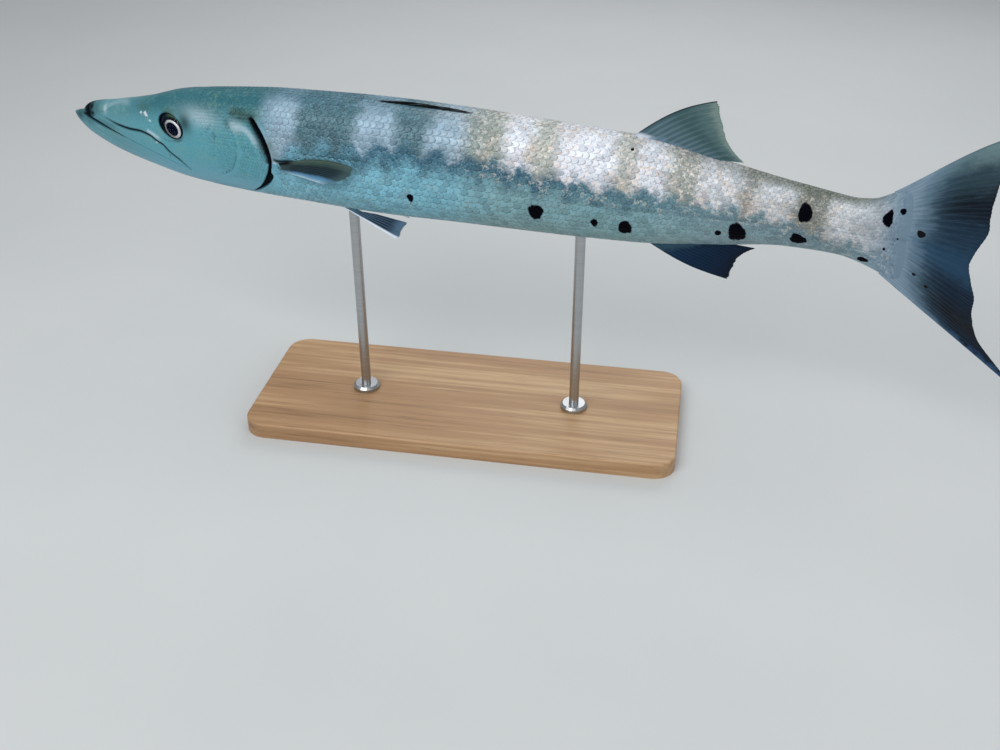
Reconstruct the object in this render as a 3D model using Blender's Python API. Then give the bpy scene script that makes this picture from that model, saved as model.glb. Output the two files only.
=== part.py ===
"""Great barracuda at life size, held by a plain display stand.

Metres, +Z up.  The origin is the middle of the stand's underside.  The fish faces -X and its left
side faces -Y.  Every piece of the fish is modelled along a straight axis first, with X running
from the snout to the tail, and is then bent along the swimming curve of the spine.
"""

import math
from collections import namedtuple

import bmesh
import bpy
import numpy as np
from mathutils import Vector

# Driving dimensions
BODY_LENGTH = 0.865          # snout tip to the end of the fleshy tail
SPINE_HEIGHT = 0.300         # spine above the floor at the middle of the body
GAP = 0.0003                 # clearance between neighbouring pieces

# Swimming curve of the spine; places along the body are parts of BODY_LENGTH
SPINE_MIDDLE = 0.5
HEAD_TURN = math.radians(11.9)
HEAD_TURN_STARTS = 0.42
TAIL_SWING = math.radians(25.8)
TAIL_SWING_STARTS = 0.60
TAIL_SWING_LENGTH = 0.55
NOSE_UP = 0.058              # rise towards the snout per unit of length

# Body profile: place, top, underside, half width and level of the widest point are parts of
# BODY_LENGTH; the last two say how square the section is above and below its widest point
Station = namedtuple("Station", "name place top bottom half_width level top_square bottom_square")
STATIONS = (
    Station("chin tip", -0.0145, -0.0092, -0.0128, 0.0030, -0.0110, 2.0, 2.0),
    Station("chin", -0.0085, -0.0070, -0.0200, 0.0070, -0.0120, 2.2, 2.1),
    Station("lower lip", 0.0005, -0.0056, -0.0285, 0.0098, -0.0125, 2.2, 2.1),
    Station("snout tip", 0.0040, 0.0008, -0.0310, 0.0106, -0.0125, 2.2, 2.1),
    Station("snout", 0.0120, 0.0066, -0.0355, 0.0126, -0.0120, 2.3, 2.0),
    Station("upper lip", 0.0500, 0.0165, -0.0490, 0.0175, -0.0115, 2.5, 1.95),
    Station("nostrils", 0.1000, 0.0300, -0.0585, 0.0238, -0.0110, 2.6, 1.9),
    Station("eyes", 0.1480, 0.0462, -0.0652, 0.0300, -0.0090, 2.7, 1.9),
    Station("cheek", 0.2000, 0.0562, -0.0680, 0.0366, -0.0060, 2.7, 1.95),
    Station("shoulder", 0.3000, 0.0656, -0.0685, 0.0462, -0.0010, 2.8, 2.1),
    Station("first dorsal", 0.4100, 0.0677, -0.0701, 0.0522, 0.0, 3.1, 2.2),
    Station("middle", 0.5000, 0.0662, -0.0684, 0.0536, 0.0, 3.1, 2.2),
    Station("flank", 0.6000, 0.0638, -0.0680, 0.0525, 0.0, 2.6, 2.2),
    Station("vent", 0.7000, 0.0625, -0.0655, 0.0479, 0.0, 2.05, 2.2),
    Station("fin ends", 0.8000, 0.0480, -0.0528, 0.0360, 0.0, 2.0, 2.1),
    Station("narrowing", 0.8800, 0.0395, -0.0375, 0.0255, 0.0, 2.1, 2.1),
    Station("peduncle", 0.9400, 0.0377, -0.0335, 0.0185, 0.0, 2.0, 2.0),
    Station("tail root", 0.9650, 0.0425, -0.0376, 0.0150, 0.002, 1.8, 1.8),
    Station("tail end", 0.9850, 0.0548, -0.0430, 0.0120, 0.004, 1.5, 1.5),
)
RING_POINTS = 26
FRONT_RINGS = (-0.0145, -0.0118, -0.0085, -0.0040, 0.0005, 0.0022, 0.0040, 0.0062, 0.0090,
               0.0120, 0.0190, 0.0285, 0.0390)
HEAD_RING_STEP = 0.0140
HEAD_RINGS_END = 0.3000
BODY_RING_STEP = 0.0200

# Cuts across the body; the head's and the trunk's blanks overlap before they are carved
HEAD_BLANK_END = 0.290
COVER_BLANK_START = 0.100
GILL_CORE_END = 0.360
TRUNK_BLANK_START = 0.210
TRUNK_CUTS = (0.44, 0.655, 0.85)
TAIL_END = 0.985
CUTTER_REACH = 0.200         # metres to either side, well outside the body
COVER_CLEARANCE = 0.002      # metres from the body's middle plane to the gill covers' cutters

# Mouth: a straight line that falls towards the jaw's corner
MOUTH_FRONT = -0.0045
MOUTH_SLOPE = 0.25
JAW_CORNER = 0.160
JAW_THROAT = 0.182           # where the jaw's rear edge meets the underside
MOUTH_STEP = 0.0140

# Gill covers: the rear edge is a parabola, steeper below than above its rearmost point
GILL_EDGE = 0.2755
GILL_EDGE_LEVEL = -0.0080
GILL_CURVE_ABOVE = 8.0
GILL_CURVE_BELOW = 12.5
GILL_FRONT = 0.2340          # the preopercle's edge, a parabola about level 0
GILL_FRONT_CURVE = 17.0
GILL_TOP = 0.0360
GILL_BOTTOM = -0.0520
GILL_THICKNESS = 0.0060      # metres
GILL_EDGE_STEPS = 12

# Eyes
EYE_PLACE = 0.1466
EYE_LEVEL = 0.0055
EYE_RADIUS = 0.0136          # metres, in the plane of the cheek
EYE_DEPTH = 0.0090           # metres, half of the eyeball's depth across the head
EYE_STANDS_OUT = 0.0022      # metres
EYE_YAW = math.radians(7.0)  # the eye looks slightly forwards
EYE_TILT = math.radians(8.0)

# Fins, with places and heights as parts of BODY_LENGTH and thicknesses in metres
FIN_ROOT_THICKNESS = 0.0026
FIN_EDGE_THICKNESS = 0.0010
FIN_ROWS = 6
FIRST_DORSAL = (0.402, 0.507)
FIRST_DORSAL_HEIGHT = 0.0036
FIRST_DORSAL_LOW = 0.25      # share of the height that even its ends have
FIRST_DORSAL_ARCH = (0.12, 0.92)
FIRST_DORSAL_STEPS = 16
FIRST_DORSAL_ROWS = 3
SECOND_DORSAL_BASE = (0.694, 0.789)
SECOND_DORSAL_REAR = ((0.785, 0.1150), (0.803, 0.0560))
SECOND_DORSAL_BOW = 0.008    # the leading edge bows outwards
ANAL_BASE = (0.714, 0.800)
ANAL_REAR = ((0.818, -0.0965), (0.828, -0.0560))
ANAL_BOW = -0.007
MEDIAN_RAYS = 12
HEEL_REACH = 0.018           # how far the last ray of either fin runs on behind its rear edge
HEEL_RISE = 0.006
HEEL_SHARPNESS = 8
PECTORAL_ROOT = ((0.2880, -0.0030), (0.2930, -0.0170))
PECTORAL_TIPS = ((0.3820, 0.0085), (0.3450, -0.0200))
PECTORAL_LIFT = 0.0090       # metres, the tip's distance from the flank
PECTORAL_CURL = 1.4
PECTORAL_RAYS = 8
PELVIC_ROOT = (0.3530, 0.3680)
PELVIC_TIPS = ((0.4220, -0.0925), (0.4350, -0.0680))
PELVIC_SPREAD = (0.0170, 0.0310)
PELVIC_RAYS = 6
TAIL_FORK = 0.092            # length of the middle rays
TAIL_WEB = {"upper": 0.066, "lower": 0.079}        # what the web adds from the fork to the lobes
TAIL_TIP = 0.050             # what the pointed lobe tips add
TAIL_TIP_SHARPNESS = 12
TAIL_MIDDLE_LOBE = 0.004     # the two small lobes beside the fork
TAIL_MIDDLE_LOBE_AT = 0.26
TAIL_MIDDLE_LOBE_WIDTH = 0.10
TAIL_LOBE_ANGLE = math.radians(44.0)
TAIL_FIN_PITCH = math.radians(2.6)
TAIL_FORK_DROP = math.radians(4.0)
TAIL_EDGE_BOW = {"upper": 0.013, "lower": -0.001}  # the outer rays bow before they sweep back
TAIL_CUP = 0.028             # metres, the lobe tips lag behind the stroke
TAIL_CUP_FRONT = 0.35        # share of the cup by which the fork leads
TAIL_RAYS = 26
TAIL_ROWS = 9
TAIL_ROOT_HALF = (0.0010, 0.0060)                  # metres, half thickness at the edges and middle
TAIL_THINS = 5
TAIL_WEB_HALF = (1.3, 1.0)                         # the web's thickness at root and edge

# Stand, in metres
BASE_SIZE = (0.480, 0.190, 0.018)
BASE_CORNER = 0.024
BASE_EDGE = 0.0022
ROD_RADIUS = 0.0055
ROD_PLACES = (0.36, 0.64)
COLLAR_RADIUS = 0.0150
COLLAR_HEIGHT = 0.0060
ROD_SIDES = 24

# Materials: base colour, roughness, metallic
MATERIALS = {
    "head": ((0.090, 0.200, 0.220), 0.42, 0.15),
    "flank": ((0.300, 0.400, 0.430), 0.38, 0.25),
    "fin": ((0.030, 0.060, 0.085), 0.45, 0.0),
    "eye": ((0.010, 0.012, 0.020), 0.12, 0.0),
    "base": ((0.600, 0.600, 0.580), 0.60, 0.0),
    "rod": ((0.550, 0.560, 0.570), 0.30, 1.0),
}


def clear_scene():
    """Remove whatever the scene holds."""
    for thing in list(bpy.data.objects):
        bpy.data.objects.remove(thing, do_unlink=True)


def material(name):
    """One Principled material for each kind of surface."""
    found = bpy.data.materials.get("mat_" + name)
    if found:
        return found
    colour, roughness, metallic = MATERIALS[name]
    made = bpy.data.materials.new("mat_" + name)
    made.use_nodes = True
    shader = made.node_tree.nodes["Principled BSDF"]
    shader.inputs["Base Color"].default_value = (*colour, 1.0)
    shader.inputs["Roughness"].default_value = roughness
    shader.inputs["Metallic"].default_value = metallic
    return made


def ease(amount):
    """A smooth step from 0 to 1."""
    held = min(max(amount, 0.0), 1.0)
    return held * held * (3.0 - 2.0 * held)


def smooth_between(places, values, place):
    """A cubic through the stations that never overshoots them."""
    places = np.asarray(places)
    values = np.asarray(values)
    runs = np.diff(places)
    slopes = np.diff(values) / runs
    tangents = np.concatenate([[slopes[0]], np.zeros(len(runs) - 1), [slopes[-1]]])
    for i in range(1, len(runs)):
        before, after = slopes[i - 1], slopes[i]
        if before * after > 0.0:
            heavy, light = 2 * runs[i] + runs[i - 1], runs[i] + 2 * runs[i - 1]
            tangents[i] = (heavy + light) / (heavy / before + light / after)
    i = int(np.clip(np.searchsorted(places, place) - 1, 0, len(runs) - 1))
    t = (place - places[i]) / runs[i]
    return float(
        values[i] * (2 * t**3 - 3 * t**2 + 1)
        + values[i + 1] * (3 * t**2 - 2 * t**3)
        + runs[i] * tangents[i] * (t**3 - 2 * t**2 + t)
        + runs[i] * tangents[i + 1] * (t**3 - t**2)
    )


def station_value(field, place):
    """One profile value at a place along the body."""
    return smooth_between([s.place for s in STATIONS], [getattr(s, field) for s in STATIONS], place)


def section_point(place, angle):
    """Lateral distance and height on the body's section, for an angle up from the left side."""
    level = station_value("level", place)
    edge = "top" if math.sin(angle) >= 0.0 else "bottom"
    square = station_value(edge + "_square", place)
    reach = abs(station_value(edge, place) - level)
    across = math.copysign(abs(math.cos(angle)) ** (2.0 / square), math.cos(angle))
    upwards = math.copysign(abs(math.sin(angle)) ** (2.0 / square), math.sin(angle))
    return across * station_value("half_width", place), level + upwards * reach


def flank_width(place, height):
    """The body's half width at a height above the axis."""
    level = station_value("level", place)
    edge = "top" if height >= level else "bottom"
    square = station_value(edge + "_square", place)
    reach = abs(station_value(edge, place) - level)
    share = min(abs(height - level) / reach, 1.0)
    return station_value("half_width", place) * (1.0 - share**square) ** (1.0 / square)


def body_places(start, end):
    """Ring places between two cuts, closer together on the head."""
    places = list(FRONT_RINGS)
    while places[-1] < TAIL_END:
        step = HEAD_RING_STEP if places[-1] < HEAD_RINGS_END else BODY_RING_STEP
        places.append(places[-1] + step)
    clear = HEAD_RING_STEP / 4 if start > 0.0 else 0.0
    return [start] + [p for p in places if start + clear < p < end - clear] + [end]


def face_outwards(mesh):
    """Turn every face of a closed mesh outwards."""
    bmesh.ops.recalc_face_normals(mesh, faces=mesh.faces)
    if mesh.calc_volume(signed=True) < 0.0:
        bmesh.ops.reverse_faces(mesh, faces=mesh.faces)


def body_length(start, end, inward=0.0):
    """A closed length of the straight body; inward thins its width, in metres."""
    mesh = bmesh.new()
    rings = []
    for place in body_places(start, end):
        narrow = max(1.0 - inward / (station_value("half_width", place) * BODY_LENGTH), 0.15)
        ring = []
        for i in range(RING_POINTS):
            across, height = section_point(place, 2 * math.pi * i / RING_POINTS)
            ring.append(mesh.verts.new((
                place * BODY_LENGTH, -across * narrow * BODY_LENGTH, height * BODY_LENGTH)))
        rings.append(ring)
    for ring, following in zip(rings, rings[1:]):
        for i in range(RING_POINTS):
            j = (i + 1) % RING_POINTS
            mesh.faces.new((ring[i], ring[j], following[j], following[i]))
    mesh.faces.new(rings[0])
    mesh.faces.new(rings[-1])
    face_outwards(mesh)
    return mesh


def side_prism(outline, near=-CUTTER_REACH, far=CUTTER_REACH):
    """A closed prism from a side-view outline, in parts of BODY_LENGTH, between two Y values."""
    mesh = bmesh.new()
    sides = []
    for y in (near, far):
        sides.append([mesh.verts.new((x * BODY_LENGTH, y, z * BODY_LENGTH)) for x, z in outline])
    count = len(outline)
    for i in range(count):
        j = (i + 1) % count
        mesh.faces.new((sides[0][i], sides[0][j], sides[1][j], sides[1][i]))
    mesh.faces.new(sides[0])
    mesh.faces.new(sides[1])
    face_outwards(mesh)
    return mesh


def as_object(name, mesh):
    """Turn a bmesh into an object of the scene."""
    data = bpy.data.meshes.new(name)
    mesh.to_mesh(data)
    mesh.free()
    thing = bpy.data.objects.new(name, data)
    bpy.context.collection.objects.link(thing)
    return thing


def as_cutter(name, mesh):
    """A guide object that only shapes others."""
    thing = as_object(name, mesh)
    thing.hide_render = True
    thing.display_type = "WIRE"
    return thing


def carve(thing, cutter, operation):
    """Apply one Boolean to a thing and keep the result as its mesh."""
    modifier = thing.modifiers.new("carve", "BOOLEAN")
    modifier.operation = operation
    modifier.solver = "EXACT"
    modifier.object = cutter
    graph = bpy.context.evaluated_depsgraph_get()
    carved = bpy.data.meshes.new_from_object(thing.evaluated_get(graph))
    thing.modifiers.remove(modifier)
    thing.data = carved


def spine_frames():
    """Places, positions and headings along the bent spine, stepped finely."""
    places = np.linspace(-0.05, 1.25, 1301)
    turn = [
        HEAD_TURN * ease((HEAD_TURN_STARTS - p) / HEAD_TURN_STARTS)
        + TAIL_SWING * ease((p - TAIL_SWING_STARTS) / TAIL_SWING_LENGTH)
        for p in places
    ]
    turn = np.array(turn)
    step = (places[1] - places[0]) * BODY_LENGTH
    x = np.concatenate([[0.0], np.cumsum((np.cos(turn[1:]) + np.cos(turn[:-1])) / 2 * step)])
    y = np.concatenate([[0.0], np.cumsum(-(np.sin(turn[1:]) + np.sin(turn[:-1])) / 2 * step)])
    x -= np.interp(SPINE_MIDDLE, places, x)
    y -= np.interp(SPINE_MIDDLE, places, y)
    return places, x, y, turn


SPINE = spine_frames()


def bent(point):
    """Where a point of the straight fish goes on the bent one."""
    places, x, y, turn = SPINE
    place = point[0] / BODY_LENGTH
    heading = float(np.interp(place, places, turn))
    return Vector((
        float(np.interp(place, places, x)) + point[1] * math.sin(heading),
        float(np.interp(place, places, y)) + point[1] * math.cos(heading),
        SPINE_HEIGHT + point[2] - NOSE_UP * (place - SPINE_MIDDLE) * BODY_LENGTH,
    ))


def finish(thing, surface, bend=True):
    """Triangulate, bend along the spine, shade smooth and give a material."""
    mesh = bmesh.new()
    mesh.from_mesh(thing.data)
    bmesh.ops.remove_doubles(mesh, verts=mesh.verts, dist=1e-6)
    bmesh.ops.dissolve_degenerate(mesh, dist=1e-6, edges=mesh.edges)
    bmesh.ops.triangulate(mesh, faces=mesh.faces)
    if bend:
        for vertex in mesh.verts:
            vertex.co = bent(vertex.co)
    face_outwards(mesh)
    mesh.to_mesh(thing.data)
    mesh.free()
    thing.data.materials.clear()
    thing.data.materials.append(material(surface))
    thing.data.shade_smooth()
    thing.data.set_sharp_from_angle(angle=math.radians(40))


def gill_edge(height):
    """Place of the gill cover's rear edge at a height."""
    curve = GILL_CURVE_ABOVE if height > GILL_EDGE_LEVEL else GILL_CURVE_BELOW
    return GILL_EDGE - curve * (height - GILL_EDGE_LEVEL) ** 2


def gill_outline(grow):
    """Side view of the gill cover; grow moves every edge outwards, in metres."""
    out = grow / BODY_LENGTH
    low, high = GILL_BOTTOM - out, GILL_TOP + out
    heights = [low + (high - low) * i / GILL_EDGE_STEPS for i in range(GILL_EDGE_STEPS + 1)]
    rear = [(gill_edge(h) + out, h) for h in heights]
    front = [(GILL_FRONT - GILL_FRONT_CURVE * h**2 - out, h) for h in reversed(heights)]
    return rear + front


def behind_gills(shift):
    """Side view of everything behind the gill covers' rear edge."""
    reach = 0.09
    heights = [-reach + 2 * reach * i / (2 * GILL_EDGE_STEPS) for i in range(2 * GILL_EDGE_STEPS + 1)]
    edge = [(gill_edge(h) + shift / BODY_LENGTH, h) for h in heights]
    return [(TAIL_END, -reach)] + edge + [(TAIL_END, reach)]


def jaw_outline(drop):
    """Side view of the space of the lower jaw, its upper edge lowered by drop, in metres."""
    down = drop / BODY_LENGTH
    start = -0.03
    steps = round((JAW_CORNER - start) / MOUTH_STEP)
    places = [start + (JAW_CORNER - start) * i / steps for i in range(steps + 1)]
    upper = [(p, MOUTH_FRONT - MOUTH_SLOPE * p - down) for p in places]
    upper[-1] = (JAW_CORNER - down, upper[-1][1])
    return upper + [(JAW_THROAT - down, -0.09), (start, -0.09)]


def eye_mesh(side, grow):
    """An eyeball as a flattened sphere in the cheek; side is -1 for left and 1 for right."""
    mesh = bmesh.new()
    bmesh.ops.create_uvsphere(mesh, u_segments=20, v_segments=10, radius=1.0)
    surface = flank_width(EYE_PLACE, EYE_LEVEL) * BODY_LENGTH
    centre = Vector((
        EYE_PLACE * BODY_LENGTH,
        side * (surface + EYE_STANDS_OUT - EYE_DEPTH),
        EYE_LEVEL * BODY_LENGTH,
    ))
    for vertex in mesh.verts:
        along, up, out = vertex.co
        out *= EYE_DEPTH + grow
        along *= EYE_RADIUS + grow
        up *= EYE_RADIUS + grow
        forward = along * math.cos(EYE_YAW) - out * math.sin(EYE_YAW)
        out = along * math.sin(EYE_YAW) + out * math.cos(EYE_YAW)
        up, out = (up * math.cos(EYE_TILT) + out * math.sin(EYE_TILT),
                   out * math.cos(EYE_TILT) - up * math.sin(EYE_TILT))
        vertex.co = centre + Vector((forward, side * out, up))
    face_outwards(mesh)
    return mesh


def make_head():
    """Skull with upper jaw, lower jaw, two gill covers and two eyes."""
    rear = HEAD_BLANK_END
    jaw_space = as_cutter("cut_jaw", side_prism(jaw_outline(GAP / 2)))
    jaw_space_grown = as_cutter("cut_jaw_grown", side_prism(jaw_outline(-GAP / 2)))
    behind = as_cutter("cut_behind", side_prism(behind_gills(-GAP / 2)))
    core = as_cutter("cut_core", body_length(FRONT_RINGS[0], GILL_CORE_END, GILL_THICKNESS))

    jaw = as_object("lower_jaw", body_length(FRONT_RINGS[0], rear))
    carve(jaw, jaw_space, "INTERSECT")
    head = as_object("head", body_length(FRONT_RINGS[0], rear))
    carve(head, behind, "DIFFERENCE")
    carve(head, jaw_space_grown, "DIFFERENCE")

    for name, side in (("left", -1), ("right", 1)):
        near, far = side * COVER_CLEARANCE, side * CUTTER_REACH
        slot = as_cutter("cut_slot_" + name, side_prism(gill_outline(GAP), near, far))
        inner = body_length(COVER_BLANK_START, GILL_CORE_END, GILL_THICKNESS + GAP)
        inner = as_cutter("cut_inner_" + name, inner)
        carve(slot, inner, "DIFFERENCE")
        carve(head, slot, "DIFFERENCE")
        cover = as_object("gill_cover_" + name, body_length(COVER_BLANK_START, rear))
        plate = as_cutter("cut_plate_" + name, side_prism(gill_outline(0.0), near, far))
        carve(cover, plate, "INTERSECT")
        carve(cover, behind, "DIFFERENCE")
        carve(cover, core, "DIFFERENCE")
        finish(cover, "head")

        socket = as_cutter("cut_socket_" + name, eye_mesh(side, GAP))
        carve(head, socket, "DIFFERENCE")
        finish(as_object("eye_" + name, eye_mesh(side, 0.0)), "eye")

    finish(head, "head")
    finish(jaw, "head")


def make_trunk():
    """Four lengths from the gill opening to the root of the tail fin."""
    half = GAP / 2 / BODY_LENGTH
    front = as_object("trunk_front", body_length(TRUNK_BLANK_START, TRUNK_CUTS[0] - half))
    behind = as_cutter("cut_trunk", side_prism(behind_gills(GAP / 2)))
    carve(front, behind, "INTERSECT")
    finish(front, "flank")
    lengths = (
        ("trunk_middle", TRUNK_CUTS[0] + half, TRUNK_CUTS[1] - half),
        ("trunk_rear", TRUNK_CUTS[1] + half, TRUNK_CUTS[2] - half),
        ("tail_peduncle", TRUNK_CUTS[2] + half, TAIL_END - half),
    )
    for name, start, end in lengths:
        finish(as_object(name, body_length(start, end)), "flank")


def fin_mesh(rays, half_thickness):
    """A closed thin fin from rays, each a list of points from root to edge.

    half_thickness(ray share, row share) gives half of the fin's thickness, in metres.
    """
    grid = np.array(rays, dtype=float)
    across = np.gradient(grid, axis=0)
    along = np.gradient(grid, axis=1)
    normals = np.cross(across, along)
    normals /= np.linalg.norm(normals, axis=2, keepdims=True)
    count, rows = grid.shape[:2]
    mesh = bmesh.new()
    sheets = []
    for sign in (-1.0, 1.0):
        sheet = []
        for i in range(count):
            line = []
            for j in range(rows):
                half = half_thickness(i / (count - 1), j / (rows - 1))
                line.append(mesh.verts.new(grid[i, j] + sign * half * normals[i, j]))
            sheet.append(line)
        sheets.append(sheet)
    for i in range(count - 1):
        for j in range(rows - 1):
            for sheet in sheets:
                mesh.faces.new((sheet[i][j], sheet[i + 1][j], sheet[i + 1][j + 1], sheet[i][j + 1]))
    first, second = sheets
    rim = [(i, 0) for i in range(count)]
    rim += [(count - 1, j) for j in range(1, rows)]
    rim += [(i, rows - 1) for i in range(count - 2, -1, -1)]
    rim += [(0, j) for j in range(rows - 2, 0, -1)]
    for (a, b), (c, d) in zip(rim, rim[1:] + rim[:1]):
        mesh.faces.new((first[a][b], first[c][d], second[c][d], second[a][b]))
    face_outwards(mesh)
    return mesh


def fin_half_thickness(ray_share, row_share):
    """Half of a common fin's thickness, thinner towards its edge."""
    return (FIN_ROOT_THICKNESS + (FIN_EDGE_THICKNESS - FIN_ROOT_THICKNESS) * row_share) / 2


def between(start, end, share):
    """A point between two points."""
    return tuple(a + (b - a) * share for a, b in zip(start, end))


def median_fin(name, base, rear, edge, bow):
    """A fin on the back or belly: rays from the body's edge to a rear edge that ends in a heel."""
    side = 1 if edge == "top" else -1
    lift = side * GAP / BODY_LENGTH
    grid = []
    for i in range(MEDIAN_RAYS):
        share = i / (MEDIAN_RAYS - 1)
        place = base[0] + (base[1] - base[0]) * share
        root = (place, station_value(edge, place) + lift)
        heel = share**HEEL_SHARPNESS
        end = between(rear[0], rear[1], share)
        end = (end[0] + HEEL_REACH * heel, end[1] - side * HEEL_RISE * heel)
        ray = []
        for j in range(FIN_ROWS):
            row = j / (FIN_ROWS - 1)
            x, z = between(root, end, row)
            z += bow * math.sin(math.pi * row) * (1.0 - share) ** 2
            ray.append((x * BODY_LENGTH, 0.0, z * BODY_LENGTH))
        grid.append(ray)
    finish(as_object(name, fin_mesh(grid, fin_half_thickness)), "fin")


def first_dorsal_fin():
    """Five spines folded flat along the back, as one low ridge."""
    start, end = FIRST_DORSAL
    rise, fall = FIRST_DORSAL_ARCH
    grid = []
    for i in range(FIRST_DORSAL_STEPS + 1):
        share = i / FIRST_DORSAL_STEPS
        place = start + (end - start) * share
        root = station_value("top", place) + GAP / BODY_LENGTH
        arch = math.sin(math.pi * (rise + (fall - rise) * share))
        height = FIRST_DORSAL_HEIGHT * (FIRST_DORSAL_LOW + (1.0 - FIRST_DORSAL_LOW) * arch)
        ray = []
        for j in range(FIRST_DORSAL_ROWS):
            up = root + height * j / (FIRST_DORSAL_ROWS - 1)
            ray.append((place * BODY_LENGTH, 0.0, up * BODY_LENGTH))
        grid.append(ray)
    finish(as_object("fin_dorsal_first", fin_mesh(grid, fin_half_thickness)), "fin")


def paired_rays(roots, tips, side, lateral, rays):
    """Ray grid of a paired fin; lateral(place, height, ray share, row share) is its Y, in metres."""
    grid = []
    for i in range(rays):
        share = i / (rays - 1)
        root = between(roots[0], roots[1], share)
        tip = between(tips[0], tips[1], share)
        ray = []
        for j in range(FIN_ROWS):
            row = j / (FIN_ROWS - 1)
            place, height = between(root, tip, row)
            y = side * lateral(place, height, share, row)
            ray.append((place * BODY_LENGTH, y, height * BODY_LENGTH))
        grid.append(ray)
    return grid


def pectoral_lateral(place, height, ray_share, row_share):
    """The fin lies back along the flank and lifts towards its tip."""
    clear = FIN_ROOT_THICKNESS / 2 + 3 * GAP
    return flank_width(place, height) * BODY_LENGTH + clear + PECTORAL_LIFT * row_share**PECTORAL_CURL


def pelvic_lateral(place, height, ray_share, row_share):
    """The fin hangs outwards and back from the belly."""
    near, far = PELVIC_SPREAD
    return (near + (far - near) * row_share) * BODY_LENGTH


def pelvic_root(place):
    """Where a pelvic fin's ray starts, just under the belly."""
    clear = (FIN_ROOT_THICKNESS / 2 + 3 * GAP) / BODY_LENGTH
    square = station_value("bottom_square", place)
    share = 1.0 - (PELVIC_SPREAD[0] / station_value("half_width", place)) ** square
    return place, station_value("bottom", place) * share ** (1.0 / square) - clear


def paired_fins():
    """Pectoral and pelvic fins on both sides."""
    for name, side in (("left", -1), ("right", 1)):
        pectoral = paired_rays(PECTORAL_ROOT, PECTORAL_TIPS, side, pectoral_lateral, PECTORAL_RAYS)
        finish(as_object("fin_pectoral_" + name, fin_mesh(pectoral, fin_half_thickness)), "fin")
        roots = [pelvic_root(place) for place in PELVIC_ROOT]
        pelvic = paired_rays(roots, PELVIC_TIPS, side, pelvic_lateral, PELVIC_RAYS)
        finish(as_object("fin_pelvic_" + name, fin_mesh(pelvic, fin_half_thickness)), "fin")


def tail_tip(share):
    """End of a tail ray in side view; share runs from -1 at the lower edge to 1 at the upper."""
    spread = abs(share)
    web = TAIL_WEB["upper" if share > 0.0 else "lower"]
    length = TAIL_FORK + web * spread**1.2 + TAIL_TIP * spread**TAIL_TIP_SHARPNESS
    length += TAIL_MIDDLE_LOBE * math.exp(-((spread - TAIL_MIDDLE_LOBE_AT) / TAIL_MIDDLE_LOBE_WIDTH) ** 2)
    fan = math.copysign(1.0 - (1.0 - spread) ** 2, share)
    angle = fan * TAIL_LOBE_ANGLE + TAIL_FIN_PITCH - TAIL_FORK_DROP * (1.0 - fan**2)
    middle = (station_value("top", TAIL_END) + station_value("bottom", TAIL_END)) / 2
    return TAIL_END + length * math.cos(angle), middle + length * math.sin(angle)


def tail_half_thickness(ray_share, row_share):
    """The tail fin is thick at its fleshy root and thin at its edge."""
    share = 2.0 * ray_share - 1.0
    edges, middle = TAIL_ROOT_HALF
    root = edges + (middle - edges) * (1.0 - share**2)
    web = TAIL_WEB_HALF[0] + (TAIL_WEB_HALF[1] - TAIL_WEB_HALF[0]) * row_share
    return max(root * (1.0 - row_share) ** TAIL_THINS, FIN_EDGE_THICKNESS / 2 * web)


def tail_fin():
    """The forked tail fin, its lobes cupped away from the stroke."""
    top = station_value("top", TAIL_END)
    bottom = station_value("bottom", TAIL_END)
    grid = []
    for i in range(TAIL_RAYS + 1):
        share = 2.0 * i / TAIL_RAYS - 1.0
        root = (TAIL_END + GAP / 2 / BODY_LENGTH, bottom + (top - bottom) * (share + 1.0) / 2)
        end = tail_tip(share)
        ray = []
        bow = TAIL_EDGE_BOW["upper" if share > 0.0 else "lower"]
        for j in range(TAIL_ROWS):
            row = j / (TAIL_ROWS - 1)
            x, z = between(root, end, row)
            z += bow * share**3 * math.sin(math.pi * row**1.3)
            y = TAIL_CUP * row**1.5 * (share**2 - TAIL_CUP_FRONT)
            ray.append((x * BODY_LENGTH, y, z * BODY_LENGTH))
        grid.append(ray)
    finish(as_object("fin_caudal", fin_mesh(grid, tail_half_thickness)), "fin")


def make_stand():
    """A flat base with rounded corners and two rods that end just under the belly."""
    length, width, height = BASE_SIZE
    mesh = bmesh.new()
    bmesh.ops.create_cube(mesh, size=1.0)
    for vertex in mesh.verts:
        vertex.co = Vector((vertex.co.x * length, vertex.co.y * width, (vertex.co.z + 0.5) * height))
    upright = [e for e in mesh.edges if abs(e.verts[0].co.z - e.verts[1].co.z) > height / 2]
    bmesh.ops.bevel(mesh, geom=upright, offset=BASE_CORNER, segments=6, profile=0.5, affect="EDGES")
    rim = [e for e in mesh.edges if min(e.verts[0].co.z, e.verts[1].co.z) > height * 0.9]
    bmesh.ops.bevel(mesh, geom=rim, offset=BASE_EDGE, segments=3, profile=0.5, affect="EDGES")
    finish(as_object("stand_base", mesh), "base", bend=False)

    for name, place in (("front", ROD_PLACES[0]), ("rear", ROD_PLACES[1])):
        finish(as_object("stand_rod_" + name, rod_mesh(place)), "rod", bend=False)


def belly_height(place, lateral):
    """World height of the belly at a place and a small distance across the body."""
    half_width = station_value("half_width", place) * BODY_LENGTH
    square = station_value("bottom_square", place)
    share = (1.0 - (abs(lateral) / half_width) ** square) ** (1.0 / square)
    return bent((place * BODY_LENGTH, lateral, station_value("bottom", place) * share * BODY_LENGTH)).z


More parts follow.
